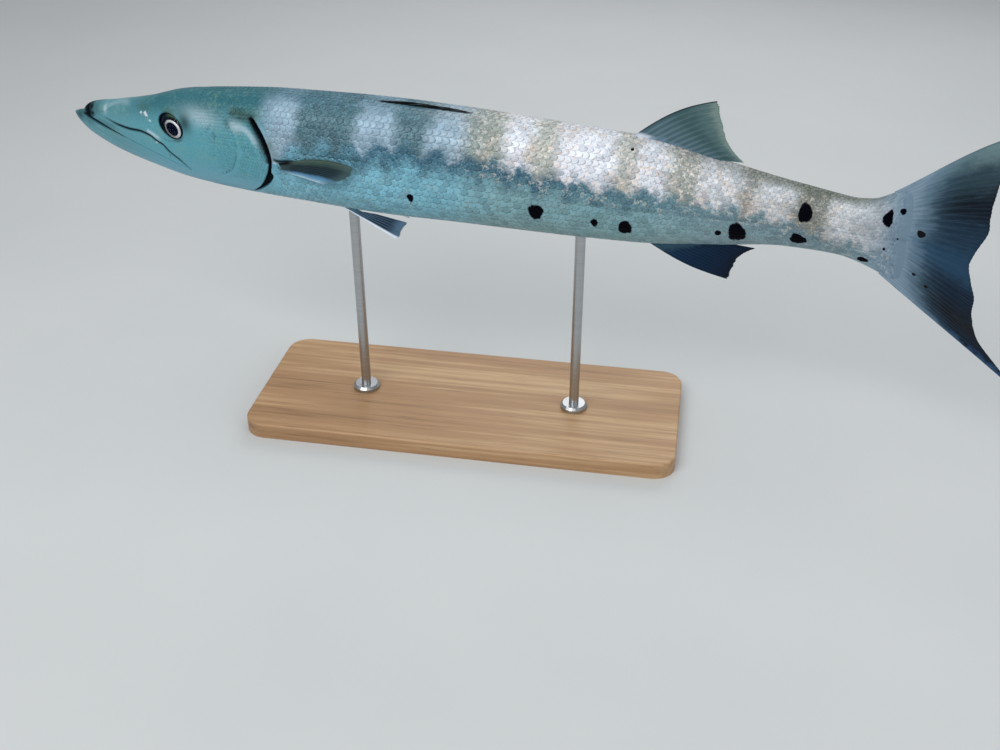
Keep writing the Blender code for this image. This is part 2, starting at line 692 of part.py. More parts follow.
def rod_mesh(place):
    """A round rod with a collar at its foot, its top cut to follow the belly."""
    centre = bent((place * BODY_LENGTH, 0.0, 0.0))
    foot = BASE_SIZE[2] + GAP
    profile = (
        (COLLAR_RADIUS, foot),
        (COLLAR_RADIUS, foot + COLLAR_HEIGHT * 0.6),
        (COLLAR_RADIUS - COLLAR_HEIGHT * 0.4, foot + COLLAR_HEIGHT),
        (ROD_RADIUS, foot + COLLAR_HEIGHT),
    )
    mesh = bmesh.new()
    rings = []
    for radius, height in profile + ((ROD_RADIUS, None),):
        ring = []
        for i in range(ROD_SIDES):
            angle = 2 * math.pi * i / ROD_SIDES
            x, y = radius * math.cos(angle), radius * math.sin(angle)
            z = height
            if z is None:
                z = belly_height(place + x / BODY_LENGTH, y) - 2 * GAP
            ring.append(mesh.verts.new((centre.x + x, centre.y + y, z)))
        rings.append(ring)
    for ring, following in zip(rings, rings[1:]):
        for i in range(ROD_SIDES):
            j = (i + 1) % ROD_SIDES
            mesh.faces.new((ring[i], ring[j], following[j], following[i]))
    mesh.faces.new(rings[0])
    mesh.faces.new(rings[-1])
    face_outwards(mesh)
    return mesh


clear_scene()
make_head()
make_trunk()
first_dorsal_fin()
median_fin("fin_dorsal_second", SECOND_DORSAL_BASE, SECOND_DORSAL_REAR, "top", SECOND_DORSAL_BOW)
median_fin("fin_anal", ANAL_BASE, ANAL_REAR, "bottom", ANAL_BOW)
paired_fins()
tail_fin()
make_stand()
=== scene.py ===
"""Looks of the great barracuda display model: skin, scales, rayed fins, eyes, stand, light and camera.

Metres, +Z up.  The fish is shaped along a straight axis, from the snout at place 0 to the tail, and is
then bent along the CAD's swimming curve.  Places, heights and widths are parts of BODY_LENGTH; reliefs
and small sizes are millimetres where a comment or a docstring says so.  Side -1 is the fish's left.
"""

import math
from collections import namedtuple

import bpy
import numpy as np
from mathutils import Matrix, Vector


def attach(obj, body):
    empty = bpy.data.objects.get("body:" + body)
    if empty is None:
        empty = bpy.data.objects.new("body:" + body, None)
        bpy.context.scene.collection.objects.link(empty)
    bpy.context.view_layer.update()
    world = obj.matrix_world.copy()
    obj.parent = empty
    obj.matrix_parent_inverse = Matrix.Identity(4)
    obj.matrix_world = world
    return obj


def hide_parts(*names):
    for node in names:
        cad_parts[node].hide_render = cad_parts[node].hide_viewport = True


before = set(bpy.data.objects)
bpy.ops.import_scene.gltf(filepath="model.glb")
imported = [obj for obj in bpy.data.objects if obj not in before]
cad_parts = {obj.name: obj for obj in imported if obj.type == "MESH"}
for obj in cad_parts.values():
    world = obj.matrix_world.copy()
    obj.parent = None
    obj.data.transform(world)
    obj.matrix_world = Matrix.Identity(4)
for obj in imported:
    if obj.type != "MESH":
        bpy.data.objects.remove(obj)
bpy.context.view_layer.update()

# Form of the body, as the CAD has it
BODY_LENGTH = 0.865
SPINE_HEIGHT = 0.300
SPINE_MIDDLE = 0.5
HEAD_TURN = math.radians(11.9)
HEAD_TURN_STARTS = 0.42
TAIL_SWING = math.radians(25.8)
TAIL_SWING_STARTS = 0.60
TAIL_SWING_LENGTH = 0.55
NOSE_UP = 0.058
MM = 0.001
BODY_MM = BODY_LENGTH / MM

# Stations: place, top, bottom, half width, level of the widest point, squareness above and below it
STATIONS = np.array([
    (-0.0145, -0.0092, -0.0128, 0.0030, -0.0110, 2.0, 2.0),
    (-0.0085, -0.0070, -0.0200, 0.0070, -0.0120, 2.2, 2.1),
    (0.0005, -0.0056, -0.0285, 0.0098, -0.0125, 2.2, 2.1),
    (0.0040, 0.0008, -0.0310, 0.0106, -0.0125, 2.2, 2.1),
    (0.0120, 0.0066, -0.0355, 0.0126, -0.0120, 2.3, 2.0),
    (0.0500, 0.0165, -0.0490, 0.0175, -0.0115, 2.5, 1.95),
    (0.1000, 0.0300, -0.0585, 0.0238, -0.0110, 2.6, 1.9),
    (0.1480, 0.0462, -0.0652, 0.0300, -0.0090, 2.7, 1.9),
    (0.2000, 0.0562, -0.0680, 0.0366, -0.0060, 2.7, 1.95),
    (0.3000, 0.0656, -0.0685, 0.0462, -0.0010, 2.8, 2.1),
    (0.4100, 0.0677, -0.0701, 0.0522, 0.0, 3.1, 2.2),
    (0.5000, 0.0662, -0.0684, 0.0536, 0.0, 3.1, 2.2),
    (0.6000, 0.0638, -0.0680, 0.0525, 0.0, 2.6, 2.2),
    (0.7000, 0.0625, -0.0655, 0.0479, 0.0, 2.05, 2.2),
    (0.8000, 0.0480, -0.0528, 0.0360, 0.0, 2.0, 2.1),
    (0.8800, 0.0395, -0.0375, 0.0255, 0.0, 2.1, 2.1),
    (0.9400, 0.0377, -0.0335, 0.0185, 0.0, 2.0, 2.0),
    (0.9650, 0.0425, -0.0376, 0.0150, 0.002, 1.8, 1.8),
    (0.9850, 0.0548, -0.0430, 0.0120, 0.004, 1.5, 1.5),
])
TOP, BOTTOM, HALF_WIDTH, LEVEL, TOP_SQUARE, BOTTOM_SQUARE = range(1, 7)
BODY_START = -0.0144
TAIL_END = 0.985

# The flesh runs on over the roots of the tail's rays as a thinning sheath
SHEATH_ROWS = 0.30           # its reach, as a share of the rays
SHEATH_PLACES = 0.050        # the places given to it behind TAIL_END
SHEATH_THINS = 1.7

# Mouth, gill opening and eye, as the CAD has them
MOUTH_FRONT = -0.0045
MOUTH_SLOPE = 0.25
JAW_CORNER = 0.160
GILL_EDGE = 0.2755
GILL_EDGE_LEVEL = -0.0080
GILL_CURVE_ABOVE = 8.0
GILL_CURVE_BELOW = 12.5
EYE_PLACE = 0.1466
EYE_LEVEL = 0.0055
EYE_DEPTH = 0.0090
EYE_STANDS_OUT = 0.0022
EYE_YAW = math.radians(7.0)
EYE_TILT = math.radians(8.0)

# Tail fin, as the CAD has it
TAIL_FORK = 0.092
TAIL_WEB = 0.066
TAIL_LOWER_WEB = 0.079
TAIL_TIP = 0.050
TAIL_TIP_SHARPNESS = 12
TAIL_MIDDLE_LOBE = 0.004
TAIL_MIDDLE_LOBE_AT = 0.26
TAIL_MIDDLE_LOBE_WIDTH = 0.10
TAIL_LOBE_ANGLE = math.radians(44.0)
TAIL_FIN_PITCH = math.radians(2.6)
TAIL_FORK_DROP = math.radians(4.0)
TAIL_EDGE_BOW = 0.013
TAIL_LOWER_BOW = -0.001
TAIL_CUP = 0.028
TAIL_CUP_FRONT = 0.35

LEFT, RIGHT = -1, 1
RNG = np.random.default_rng(7)


def eased(amount):
    """A smooth step from 0 to 1."""
    held = np.clip(amount, 0.0, 1.0)
    return held * held * (3.0 - 2.0 * held)


def rise(value, start, end):
    """0 at start and 1 at end, eased; start may be the greater one."""
    return eased((value - start) / (end - start))


def window(value, start, full, fading, end):
    """0 up to start, 1 from full to fading and 0 from end on, eased."""
    return rise(value, start, full) * (1.0 - rise(value, fading, end))


def bell(away):
    """1 at 0, fading out by 2 on both sides."""
    return np.exp(-away**2)


def stroke(away):
    """1 in a line's middle, fading fast past 1 on both sides."""
    return np.exp(-np.abs(away) ** 3)


def unit(vectors):
    """Vectors brought to length 1."""
    return vectors / np.maximum(np.linalg.norm(vectors, axis=-1, keepdims=True), 1e-12)


def turns(count):
    """Angles of even steps once around."""
    return np.linspace(0.0, 2.0 * math.pi, count, endpoint=False)


def lattice(down, across):
    """Two arrays over a grid: each row's value, and each column's value."""
    return np.meshgrid(down, across, indexing="ij")


def curve_through(places, values, at):
    """A smooth curve through points that never overshoots them."""
    places, values, at = (np.asarray(a, dtype=float) for a in (places, values, at))
    runs = np.diff(places)
    slopes = np.diff(values) / runs
    heavy = 2 * runs[1:] + runs[:-1]
    light = runs[1:] + 2 * runs[:-1]
    turning = slopes[:-1] * slopes[1:] <= 0.0
    before = np.where(turning, 1.0, slopes[:-1])
    after = np.where(turning, 1.0, slopes[1:])
    inner = np.where(turning, 0.0, (heavy + light) / (heavy / before + light / after))
    tangents = np.concatenate([slopes[:1], inner, slopes[-1:]])
    at = np.clip(at, places[0], places[-1])
    i = np.clip(np.searchsorted(places, at) - 1, 0, len(runs) - 1)
    t = (at - places[i]) / runs[i]
    return (
        values[i] * (2 * t**3 - 3 * t**2 + 1)
        + values[i + 1] * (3 * t**2 - 2 * t**3)
        + runs[i] * tangents[i] * (t**3 - 2 * t**2 + t)
        + runs[i] * tangents[i + 1] * (t**3 - t**2)
    )


def station(field, place):
    """One profile value at places along the body."""
    return curve_through(STATIONS[:, 0], STATIONS[:, field], place)


def half_section(place, upper):
    """Squareness of the section over its widest point or under it, and its reach up or down from there."""
    level = station(LEVEL, place)
    square = np.where(upper, station(TOP_SQUARE, place), station(BOTTOM_SQUARE, place))
    return square, np.where(upper, station(TOP, place) - level, level - station(BOTTOM, place))


def section(place, angle):
    """Distance across and height of the section, for an angle from -90 (belly) to 90 degrees (back)."""
    rising = np.sin(angle)
    square, reach = half_section(place, rising >= 0.0)
    across = station(HALF_WIDTH, place) * np.abs(np.cos(angle)) ** (2.0 / square)
    return across, station(LEVEL, place) + reach * np.sign(rising) * np.abs(rising) ** (2.0 / square)


def flank_width(place, height):
    """The body's half width at places and heights."""
    level = station(LEVEL, place)
    square, reach = half_section(place, height >= level)
    share = np.minimum(np.abs(height - level) / reach, 1.0)
    return station(HALF_WIDTH, place) * (1.0 - share**square) ** (1.0 / square)


def spine_frames():
    """Places, positions and headings along the bent spine."""
    places = np.linspace(-0.05, 1.25, 1301)
    turn = (HEAD_TURN * eased((HEAD_TURN_STARTS - places) / HEAD_TURN_STARTS)
            + TAIL_SWING * eased((places - TAIL_SWING_STARTS) / TAIL_SWING_LENGTH))
    step = (places[1] - places[0]) * BODY_LENGTH
    x = np.concatenate([[0.0], np.cumsum((np.cos(turn[1:]) + np.cos(turn[:-1])) / 2 * step)])
    y = np.concatenate([[0.0], np.cumsum(-(np.sin(turn[1:]) + np.sin(turn[:-1])) / 2 * step)])
    x -= np.interp(SPINE_MIDDLE, places, x)
    y -= np.interp(SPINE_MIDDLE, places, y)
    return places, x, y, turn


SPINE = spine_frames()


def bent(points):
    """Where points of the straight fish go on the bent one."""
    places, x, y, turn = SPINE
    place = points[..., 0] / BODY_LENGTH
    heading = np.interp(place, places, turn)
    return np.stack([
        np.interp(place, places, x) + points[..., 1] * np.sin(heading),
        np.interp(place, places, y) + points[..., 1] * np.cos(heading),
        SPINE_HEIGHT + points[..., 2] - NOSE_UP * (place - SPINE_MIDDLE) * BODY_LENGTH,
    ], axis=-1)


def tail_sheet(share, row):
    """The tail fin's middle sheet; share runs from -1 at the lower edge to 1, row from 0 at the root."""
    spread = np.abs(share)
    web = np.where(share > 0.0, TAIL_WEB, TAIL_LOWER_WEB)
    length = TAIL_FORK + web * spread**1.2 + TAIL_TIP * spread**TAIL_TIP_SHARPNESS
    length += TAIL_MIDDLE_LOBE * bell((spread - TAIL_MIDDLE_LOBE_AT) / TAIL_MIDDLE_LOBE_WIDTH)
    fan = np.sign(share) * (1.0 - (1.0 - spread) ** 2)
    angle = fan * TAIL_LOBE_ANGLE + TAIL_FIN_PITCH - TAIL_FORK_DROP * (1.0 - fan**2)
    top, bottom = station(TOP, TAIL_END), station(BOTTOM, TAIL_END)
    middle = (top + bottom) / 2
    root = bottom + (top - bottom) * (share + 1.0) / 2
    x = TAIL_END + length * np.cos(angle) * row
    z = root + (middle + length * np.sin(angle) - root) * row
    bow = np.where(share > 0.0, TAIL_EDGE_BOW, TAIL_LOWER_BOW)
    z = z + bow * share**3 * np.sin(math.pi * row**1.3)
    y = TAIL_CUP * row**1.5 * (share**2 - TAIL_CUP_FRONT)
    return np.stack([x * BODY_LENGTH, y, z * BODY_LENGTH], axis=-1)


TABLE_SHARES = np.linspace(0.0, 1.0, 241)
TABLE_ROWS = 1260            # rows of the table from the snout to TAIL_END
SECTION_STEPS = 901          # steps around each section, from which its even shares are read
SHEATH_STEPS = 25


def flank_table():
    """Place by place, the surface's along, across, cup and height at even shares of the way up."""
    places = np.linspace(STATIONS[0, 0], TAIL_END, TABLE_ROWS)
    angles = np.radians(np.linspace(-90.0, 90.0, SECTION_STEPS))
    across, height = section(places[:, None], angles[None, :])
    steps = np.hypot(np.diff(across, axis=1), np.diff(height, axis=1))
    length = np.concatenate([np.zeros((len(places), 1)), np.cumsum(steps, axis=1)], axis=1)
    table = np.zeros((len(places), len(TABLE_SHARES), 4))
    table[..., 0] = places[:, None]
    for i in range(len(places)):
        at = TABLE_SHARES * length[i, -1]
        table[i, :, 1] = np.interp(at, length[i], across[i])
        table[i, :, 3] = np.interp(at, length[i], height[i])
    end = table[-1]
    ray = (end[:, 3] - end[0, 3]) / (end[-1, 3] - end[0, 3]) * 2.0 - 1.0
    rows = np.linspace(0.0, SHEATH_ROWS, SHEATH_STEPS)[1:]
    sheath = []
    for row in rows:
        along, cup, level = (tail_sheet(ray, row) / BODY_LENGTH).T
        across = end[:, 1] * (1.0 - row / SHEATH_ROWS) ** SHEATH_THINS
        sheath.append(np.stack([along, across, cup, level], axis=-1))
    places = np.concatenate([places, TAIL_END + rows / SHEATH_ROWS * SHEATH_PLACES])
    length = np.concatenate([length[:, -1], np.full(len(rows), length[-1, -1])])
    return places, np.concatenate([table, sheath]), length


TABLE_PLACES, TABLE, HALF_GIRTH = flank_table()
SKIN_END = TABLE_PLACES[-1]


def on_flank(place, share):
    """Along, across, cup and height at places and shares, read from the table."""
    row = np.interp(place, TABLE_PLACES, np.arange(len(TABLE_PLACES)))
    column = np.clip(share, 0.0, 1.0) * (len(TABLE_SHARES) - 1)
    i = np.minimum(row.astype(int), len(TABLE_PLACES) - 2)
    j = np.minimum(column.astype(int), len(TABLE_SHARES) - 2)
    fi, fj = (row - i)[..., None], (column - j)[..., None]
    near = TABLE[i, j] * (1 - fj) + TABLE[i, j + 1] * fj
    far = TABLE[i + 1, j] * (1 - fj) + TABLE[i + 1, j + 1] * fj
    return np.moveaxis(near * (1 - fi) + far * fi, -1, 0)


def half_girth(place):
    """Length of the way from belly to back on one side."""
    return np.interp(place, TABLE_PLACES, HALF_GIRTH)


def table_row(place):
    """Number of the table's row at one place."""
    return int(np.clip(np.searchsorted(TABLE_PLACES, place), 0, len(TABLE_PLACES) - 1))


def share_at(place, height):
    """Share of the way up at one place and height."""
    return float(np.interp(height, TABLE[table_row(place), :, 3], TABLE_SHARES))


def straight(place, share, side):
    """Points of the straight fish's surface; a share past the back or belly runs on down the far side."""
    over = (share > 1.0) | (share < 0.0)
    folded = np.where(share > 1.0, 2.0 - share, np.abs(share))
    along, across, cup, height = on_flank(place, folded)
    side = np.where(over, -side, side)
    return np.stack([along, side * across + cup, height], axis=-1) * BODY_LENGTH


def surface_frame(place, share, side):
    """Bent surface points and their outward normals."""
    near, wide = 0.0006, 0.004
    here = bent(straight(place, share, side))
    along = bent(straight(place + near, share, side)) - bent(straight(place - near, share, side))
    upwards = bent(straight(place, share + wide, side)) - bent(straight(place, share - wide, side))
    return here, unit(np.cross(along, upwards) * -np.asarray(side)[..., None])


# Lines and patches drawn on the head, seen from the side: their widths, a line's depth and its lip are
# in mm, fade is the share of the line over which it starts, and the rest are strengths of colour: shade
# is black markings together with painted shade in grooves, slits and folds, glint is painted highlight,
# and olive is partly the head's tint and partly painted shade

Line = namedtuple("Line", "points width depth shade glint olive lip fade", defaults=(0, 0, 0, 0, 0.12))
MAXILLA = ((0.030, -0.0014), (0.046, -0.0042), (0.056, -0.0068), (0.066, -0.0082), (0.079, -0.0089),
           (0.097, -0.0078), (0.112, -0.0104), (0.120, -0.0148), (0.130, -0.0185), (0.137, -0.0255),
           (0.148, -0.0330), (0.161, -0.0445))
PREOPERCLE = ((0.212, 0.0480), (0.218, 0.0392), (0.222, 0.0301), (0.230, 0.0201), (0.2335, 0.0080),
              (0.2330, -0.0080), (0.2280, -0.0220), (0.2180, -0.0340), (0.2020, -0.0440))
HEAD_LINES = (
    # Groove of the upper jaw, and the tick at its end, with painted shade in them
    Line(MAXILLA, 1.60, 1.7, shade=1.0, lip=0.40, fade=0.27),
    Line(((0.1372, -0.0260), (0.1362, -0.0340)), 0.6, 0.4, shade=0.5),
    # Creases of the snout with painted shade in them, a painted highlight streaked along it, its black band
    # and the upper lip
    Line(((0.030, 0.0000), (0.043, 0.0043), (0.050, 0.0096), (0.058, 0.0145), (0.074, 0.0190)),
         0.9, 0.30, shade=0.16, lip=0.12),
    Line(((0.043, 0.0085), (0.051, 0.0136), (0.066, 0.0190), (0.080, 0.0205)), 2.2, -0.12, glint=0.14),
    Line(((0.0085, 0.0120), (0.0110, 0.0050), (0.0145, -0.0030), (0.0150, -0.0100)),
         8.4, 0.0, shade=1.0, fade=0.02),
    Line(((0.022, -0.0065), (0.040, -0.0100), (0.060, -0.0135)), 3.2, 0.0, shade=0.30),
    # Edges of the cheek and a crease under the eye with painted shade, a painted highlight on the bone in
    # front of the eye, painted shade in the arch over the gill cover and a painted highlight along its rear
    # edge
    Line(PREOPERCLE, 1.3, 0.4, shade=0.06, lip=0.20),
    Line(((0.131, -0.0078), (0.139, -0.0100), (0.150, -0.0092), (0.163, -0.0024)),
         0.9, 0.3, shade=0.28, lip=0.10),
    Line(((0.108, -0.0036), (0.117, -0.0062), (0.1265, -0.0105)), 1.9, -0.25, glint=0.42),
    Line(((0.226, 0.0400), (0.240, 0.0435), (0.255, 0.0400), (0.262, 0.0340)),
         3.4, 0.8, shade=0.30, olive=0.50),
    Line(((0.236, 0.0290), (0.247, 0.0262), (0.255, 0.0205), (0.262, 0.0090)), 3.6, -0.2, glint=0.34),
    # Furrows of the jaw, with painted shade in them
    Line(((0.004, -0.0160), (0.050, -0.0295), (0.100, -0.0430), (0.150, -0.0545)), 1.6, 0.35, shade=0.10),
    Line(((0.030, -0.0190), (0.080, -0.0320), (0.140, -0.0455)), 1.0, 0.2, shade=0.12),
    # Folds over and under the pectoral fin's root, painted black as the shade that falls in them
    Line(((0.2795, -0.0035), (0.2850, -0.0056), (0.2920, -0.0050), (0.3030, -0.0030), (0.3100, -0.0020)),
         1.9, 0.9, shade=1.0),
    Line(((0.2850, -0.0115), (0.2905, -0.0160), (0.2960, -0.0185)), 0.9, 0.6, shade=0.80),
    # Painted highlights on the nostrils' wet rims
    Line(((0.1004, 0.0170), (0.1018, 0.0154)), 1.15, -0.25, glint=1.0),
    Line(((0.1062, 0.0182), (0.1108, 0.0134)), 1.50, -0.30, glint=1.0),
    Line(((0.1138, 0.0104), (0.1158, 0.0086)), 1.00, -0.20, glint=0.9),
)
Patch = namedtuple("Patch", "place height wide tall shade glint olive", defaults=(0, 0, 0))
HEAD_PATCHES = (
    Patch(0.0185, 0.0050, 5.2, 5.6, shade=1.00),         # ragged rear of the snout's black band
    Patch(0.0215, -0.0020, 4.6, 3.6, shade=1.00),
    Patch(0.0270, 0.0040, 6.5, 8.0, shade=0.46),
    Patch(-0.0030, -0.0100, 10.0, 6.5, shade=0.70),      # dusky tip of the jaw
    # painted highlight on the snout
    Patch(0.0425, 0.0075, 2.6, 4.4, glint=0.42),
    Patch(0.1665, 0.0175, 8.0, 10.5, shade=0.78),        # shade behind the eye
    Patch(0.1880, 0.0285, 21.0, 9.0, glint=0.36),        # painted highlight on the temple
    Patch(0.2250, 0.0290, 3.6, 7.0, shade=0.34),         # painted shade in front of the gill cover's painted highlight
    # painted highlight on the gill cover
    Patch(0.2370, 0.0275, 7.5, 5.5, glint=0.46),
    # painted shade, dark and olive, in the arch over the gill cover
    Patch(0.2420, 0.0375, 8.0, 3.0, shade=0.50),
    Patch(0.2490, 0.0410, 12.0, 5.5, shade=0.30, olive=0.45),
    Patch(0.1030, 0.0225, 7.0, 3.6, olive=0.36),         # olive above the nostrils
    Patch(0.1440, 0.0262, 8.0, 2.6, olive=0.60),         # and above the eye
    Patch(0.2790, 0.0120, 3.2, 6.0, olive=0.55),
    Patch(0.2830, 0.0020, 4.5, 3.5, olive=0.42),
    Patch(0.2830, -0.0078, 1.5, 1.5, glint=0.90),        # painted highlight at the pectoral fin's root
    # painted highlight on the upper jaw
    Patch(0.1205, -0.0168, 1.0, 0.8, glint=1.0),
)

# Gill opening: heights, front and rear edge behind the cover's curve, depth (the last three in mm)
GILL_SLOT = np.array([
    (-0.0640, 0.0, 1.0, 0.0),
    (-0.0560, 0.4, 4.0, 2.5),
    (-0.0494, 0.8, 5.8, 4.5),
    (-0.0400, 0.0, 7.0, 6.0),
    (-0.0291, -0.8, 6.6, 6.0),
    (-0.0202, -0.6, 2.4, 3.5),
    (-0.0076, -0.4, 3.0, 4.5),
    (0.0016, -1.2, 3.0, 5.0),
    (0.0138, -2.0, 3.0, 5.5),
    (0.0265, -2.6, 3.0, 5.5),
    (0.0346, -2.8, 2.6, 4.5),
    (0.0390, -1.8, 1.8, 2.4),
    (0.0430, 0.0, 0.8, 0.0),
])

# Black blotches of the left side, and of the right side, which the photo doesn't show:
# place, height, width and height of the blotch in mm
LEFT_BLOTCHES = (
    (0.445, -0.0272, 7, 10), (0.592, -0.0249, 15, 18), (0.660, -0.0307, 8, 10), (0.696, -0.0326, 14, 17),
    (0.804, -0.0257, 7, 7), (0.825, -0.0217, 17, 22), (0.894, -0.0176, 16, 12), (0.898, 0.0151, 13, 19),
    (0.697, 0.0554, 3.2, 2.6),
    (0.966, -0.0285, 11, 6), (0.987, 0.0266, 12, 16), (1.0075, 0.0365, 9, 6.4), (1.021, 0.0170, 8, 7),
    (0.9885, -0.0085, 3.6, 4), (1.009, 0.0045, 3.0, 2.8), (1.022, -0.0315, 4, 3.2),
    (1.037, -0.0415, 4, 3.2),
)
RIGHT_BLOTCHES = (
    (0.512, -0.0250, 9, 10), (0.571, -0.0300, 7, 8), (0.676, -0.0285, 15, 14), (0.731, -0.0240, 8, 7),
    (0.787, -0.0262, 14, 16), (0.851, -0.0205, 11, 9), (0.872, 0.0140, 11, 15), (0.928, -0.0190, 12, 9),
    (0.962, 0.0195, 13, 13), (0.996, -0.0060, 7, 6), (1.004, 0.0300, 9, 8), (1.024, -0.0260, 5, 5),
)
FIN_BLOTCH_START = 1.015     # blotches behind it lie on the tail fin, the others on the skin
LATERAL_LINE = np.array([
    (0.262, 0.0370), (0.300, 0.0270), (0.360, 0.0150), (0.430, 0.0065), (0.503, 0.0013),
    (0.615, -0.0028), (0.692, -0.0060), (0.800, -0.0050), (0.900, -0.0010), (0.985, 0.0040), (1.04, 0.0050),
])
# The ragged lower border of the barred back
BAR_BORDER = np.array([
    (0.200, 0.0100), (0.270, -0.0030), (0.316, 0.0135), (0.376, 0.0224), (0.435, 0.0302), (0.493, 0.0284),
    (0.551, 0.0275), (0.585, 0.0204), (0.619, 0.0186), (0.665, 0.0144), (0.723, 0.0123), (0.781, 0.0072),
    (0.838, 0.0050), (0.900, -0.0040), (1.040, -0.0200),
])


def gill_edge(height):
    """Place of the gill cover's rear edge at heights."""
    curve = np.where(height > GILL_EDGE_LEVEL, GILL_CURVE_ABOVE, GILL_CURVE_BELOW)
    return GILL_EDGE - curve * np.minimum(np.abs(height - GILL_EDGE_LEVEL), 0.056) ** 2


def mouth_height(place):
    """Height of the mouth's line."""
    return MOUTH_FRONT - MOUTH_SLOPE * place


LINE_STEPS = 8               # steps of a smooth line between two of its points


def runs_of(points):
    """How far along a line each of its points lies."""
    return np.concatenate([[0.0], np.cumsum(np.hypot(*np.diff(points, axis=0).T))])


def smooth_line(points):
    """A fine line through a few points."""
    points = np.array(points)
    run = runs_of(points)
    at = np.linspace(0.0, run[-1], LINE_STEPS * (len(points) - 1) + 1)
    return np.stack([curve_through(run, points[:, k], at) for k in (0, 1)], axis=-1)


def off_line(place, height, points):
    """Distance in mm from a line, positive above or in front of it, and the share of the way along."""
    line = smooth_line(points) * BODY_MM if len(points) > 2 else np.array(points) * BODY_MM
    x, z = place * BODY_MM, height * BODY_MM
    best = np.full(x.shape, 1e9)
    signed = np.zeros(x.shape)
    along = np.zeros(x.shape)
    count = len(line) - 1
    for i in range(count):
        (ax, az), (bx, bz) = line[i], line[i + 1]
        dx, dz = bx - ax, bz - az
        size = dx * dx + dz * dz
        t = np.clip(((x - ax) * dx + (z - az) * dz) / size, 0.0, 1.0)
        away = np.hypot(x - ax - t * dx, z - az - t * dz)
        nearer = away < best
        best = np.where(nearer, away, best)
        cross = dx * (z - az) - dz * (x - ax)
        signed = np.where(nearer, np.sign(cross) * away, signed)
        along = np.where(nearer, (i + t) / count, along)
    return signed, along


GILL_STEP = 0.34             # depth just in front of the opening, as a share of the opening's own
GILL_REACH = 0.33            # place behind which nothing of the opening is drawn


def gill_slot(place, height):
    """Relief in mm and painted shade of the gill opening, and the distance behind its rear edge."""
    behind = (place - gill_edge(height)) * BODY_MM
    front, rear, depth = (curve_through(GILL_SLOT[:, 0], GILL_SLOT[:, k], height) for k in (1, 2, 3))
    rounding = np.where(height > -0.012, 5.0, 1.6)
    lead = GILL_STEP * depth * rise(behind, front - rounding, front)
    floor = depth * (GILL_STEP + (1.0 - GILL_STEP) * rise(behind, front, front + 0.9))
    floor = floor * (1.0 - rise(behind, rear - 0.6, rear + 0.15))
    dip = np.where(behind <= front, lead, floor)
    ends = rise(depth, 0.3, 1.6)
    # Painted shade: black inside the opening and a soft shade running forward over the cover's rounded edge
    dark = rise(behind, front - 0.90 * rounding, front - 0.15 * rounding)
    dark = np.maximum(dark, 0.60 * rise(behind, front - 12.0, front) ** 1.3 * rise(height, -0.014, 0.004))
    dark = dark * (1.0 - rise(behind, rear - 0.5, rear + 0.1))
    crest = 0.35 * bell((behind - rear - 1.2) / 1.6) * ends
    return crest - dip, dark * ends, behind - rear


SHADES, GLINTS, OLIVES = range(3)        # channels of the attribute that holds the head's features: black markings with painted shade, painted highlight, and olive


def put_mark(paint, mark, near):
    """Raise the shade, glint and olive near a line or patch."""
    for channel, strength in enumerate((mark.shade, mark.glint, mark.olive)):
        paint[..., channel] = np.maximum(paint[..., channel], strength * near)


def head_relief(place, height):
    """Relief in mm and the shade, glint and olive of the head's features, on one side."""
    relief = np.zeros(place.shape)
    paint = np.zeros(place.shape + (3,))
    for line in HEAD_LINES:
        away, along = off_line(place, height, line.points)
        ends = rise(along, 0.0, line.fade) * (1.0 - 0.6 * rise(along, 0.85, 1.0))
        near = stroke(away / line.width) * ends
        relief -= line.depth * near
        relief += line.lip * bell((away - 2.0 * line.width) / (1.5 * line.width)) * ends
        put_mark(paint, line, near)
    for patch in HEAD_PATCHES:
        along = (place - patch.place) * BODY_MM / patch.wide
        up = (height - patch.height) * BODY_MM / patch.tall
        put_mark(paint, patch, np.exp(-along**2 - up**2))
    return relief, paint


# Mouth slit and lips, in mm
SLIT_DEPTH = 3.0
SLIT_HALF_WIDTH = (1.70, 0.85)   # at the snout's tip and towards the corner
SLIT_SHADE = 1.45            # width of the painted shade along the slit, as a share of the slit's
LIP_HEIGHT = 0.45
LIP_AWAY = 1.7
LIP_WIDTH = 1.3


def mouth_relief(place, height):
    """Relief in mm and painted shade of the closed mouth's slit between its lips."""
    above = (height - mouth_height(place)) * BODY_MM
    open_share = 1.0 - 0.80 * rise(place, 0.052, 0.078)
    front, rear = SLIT_HALF_WIDTH
    half = front + (rear - front) * rise(place, 0.020, 0.065)
    reach = window(place, -0.001, 0.002, JAW_CORNER - 0.012, JAW_CORNER + 0.002)
    lips = LIP_HEIGHT * bell((np.abs(above) - LIP_AWAY) / LIP_WIDTH) * reach
    dark = stroke(above / (SLIT_SHADE * half)) * reach * open_share
    slit = SLIT_DEPTH * open_share * stroke(above / half) * reach
    return lips * (1.0 - 0.5 * rise(place, 0.05, 0.12)) - slit, dark


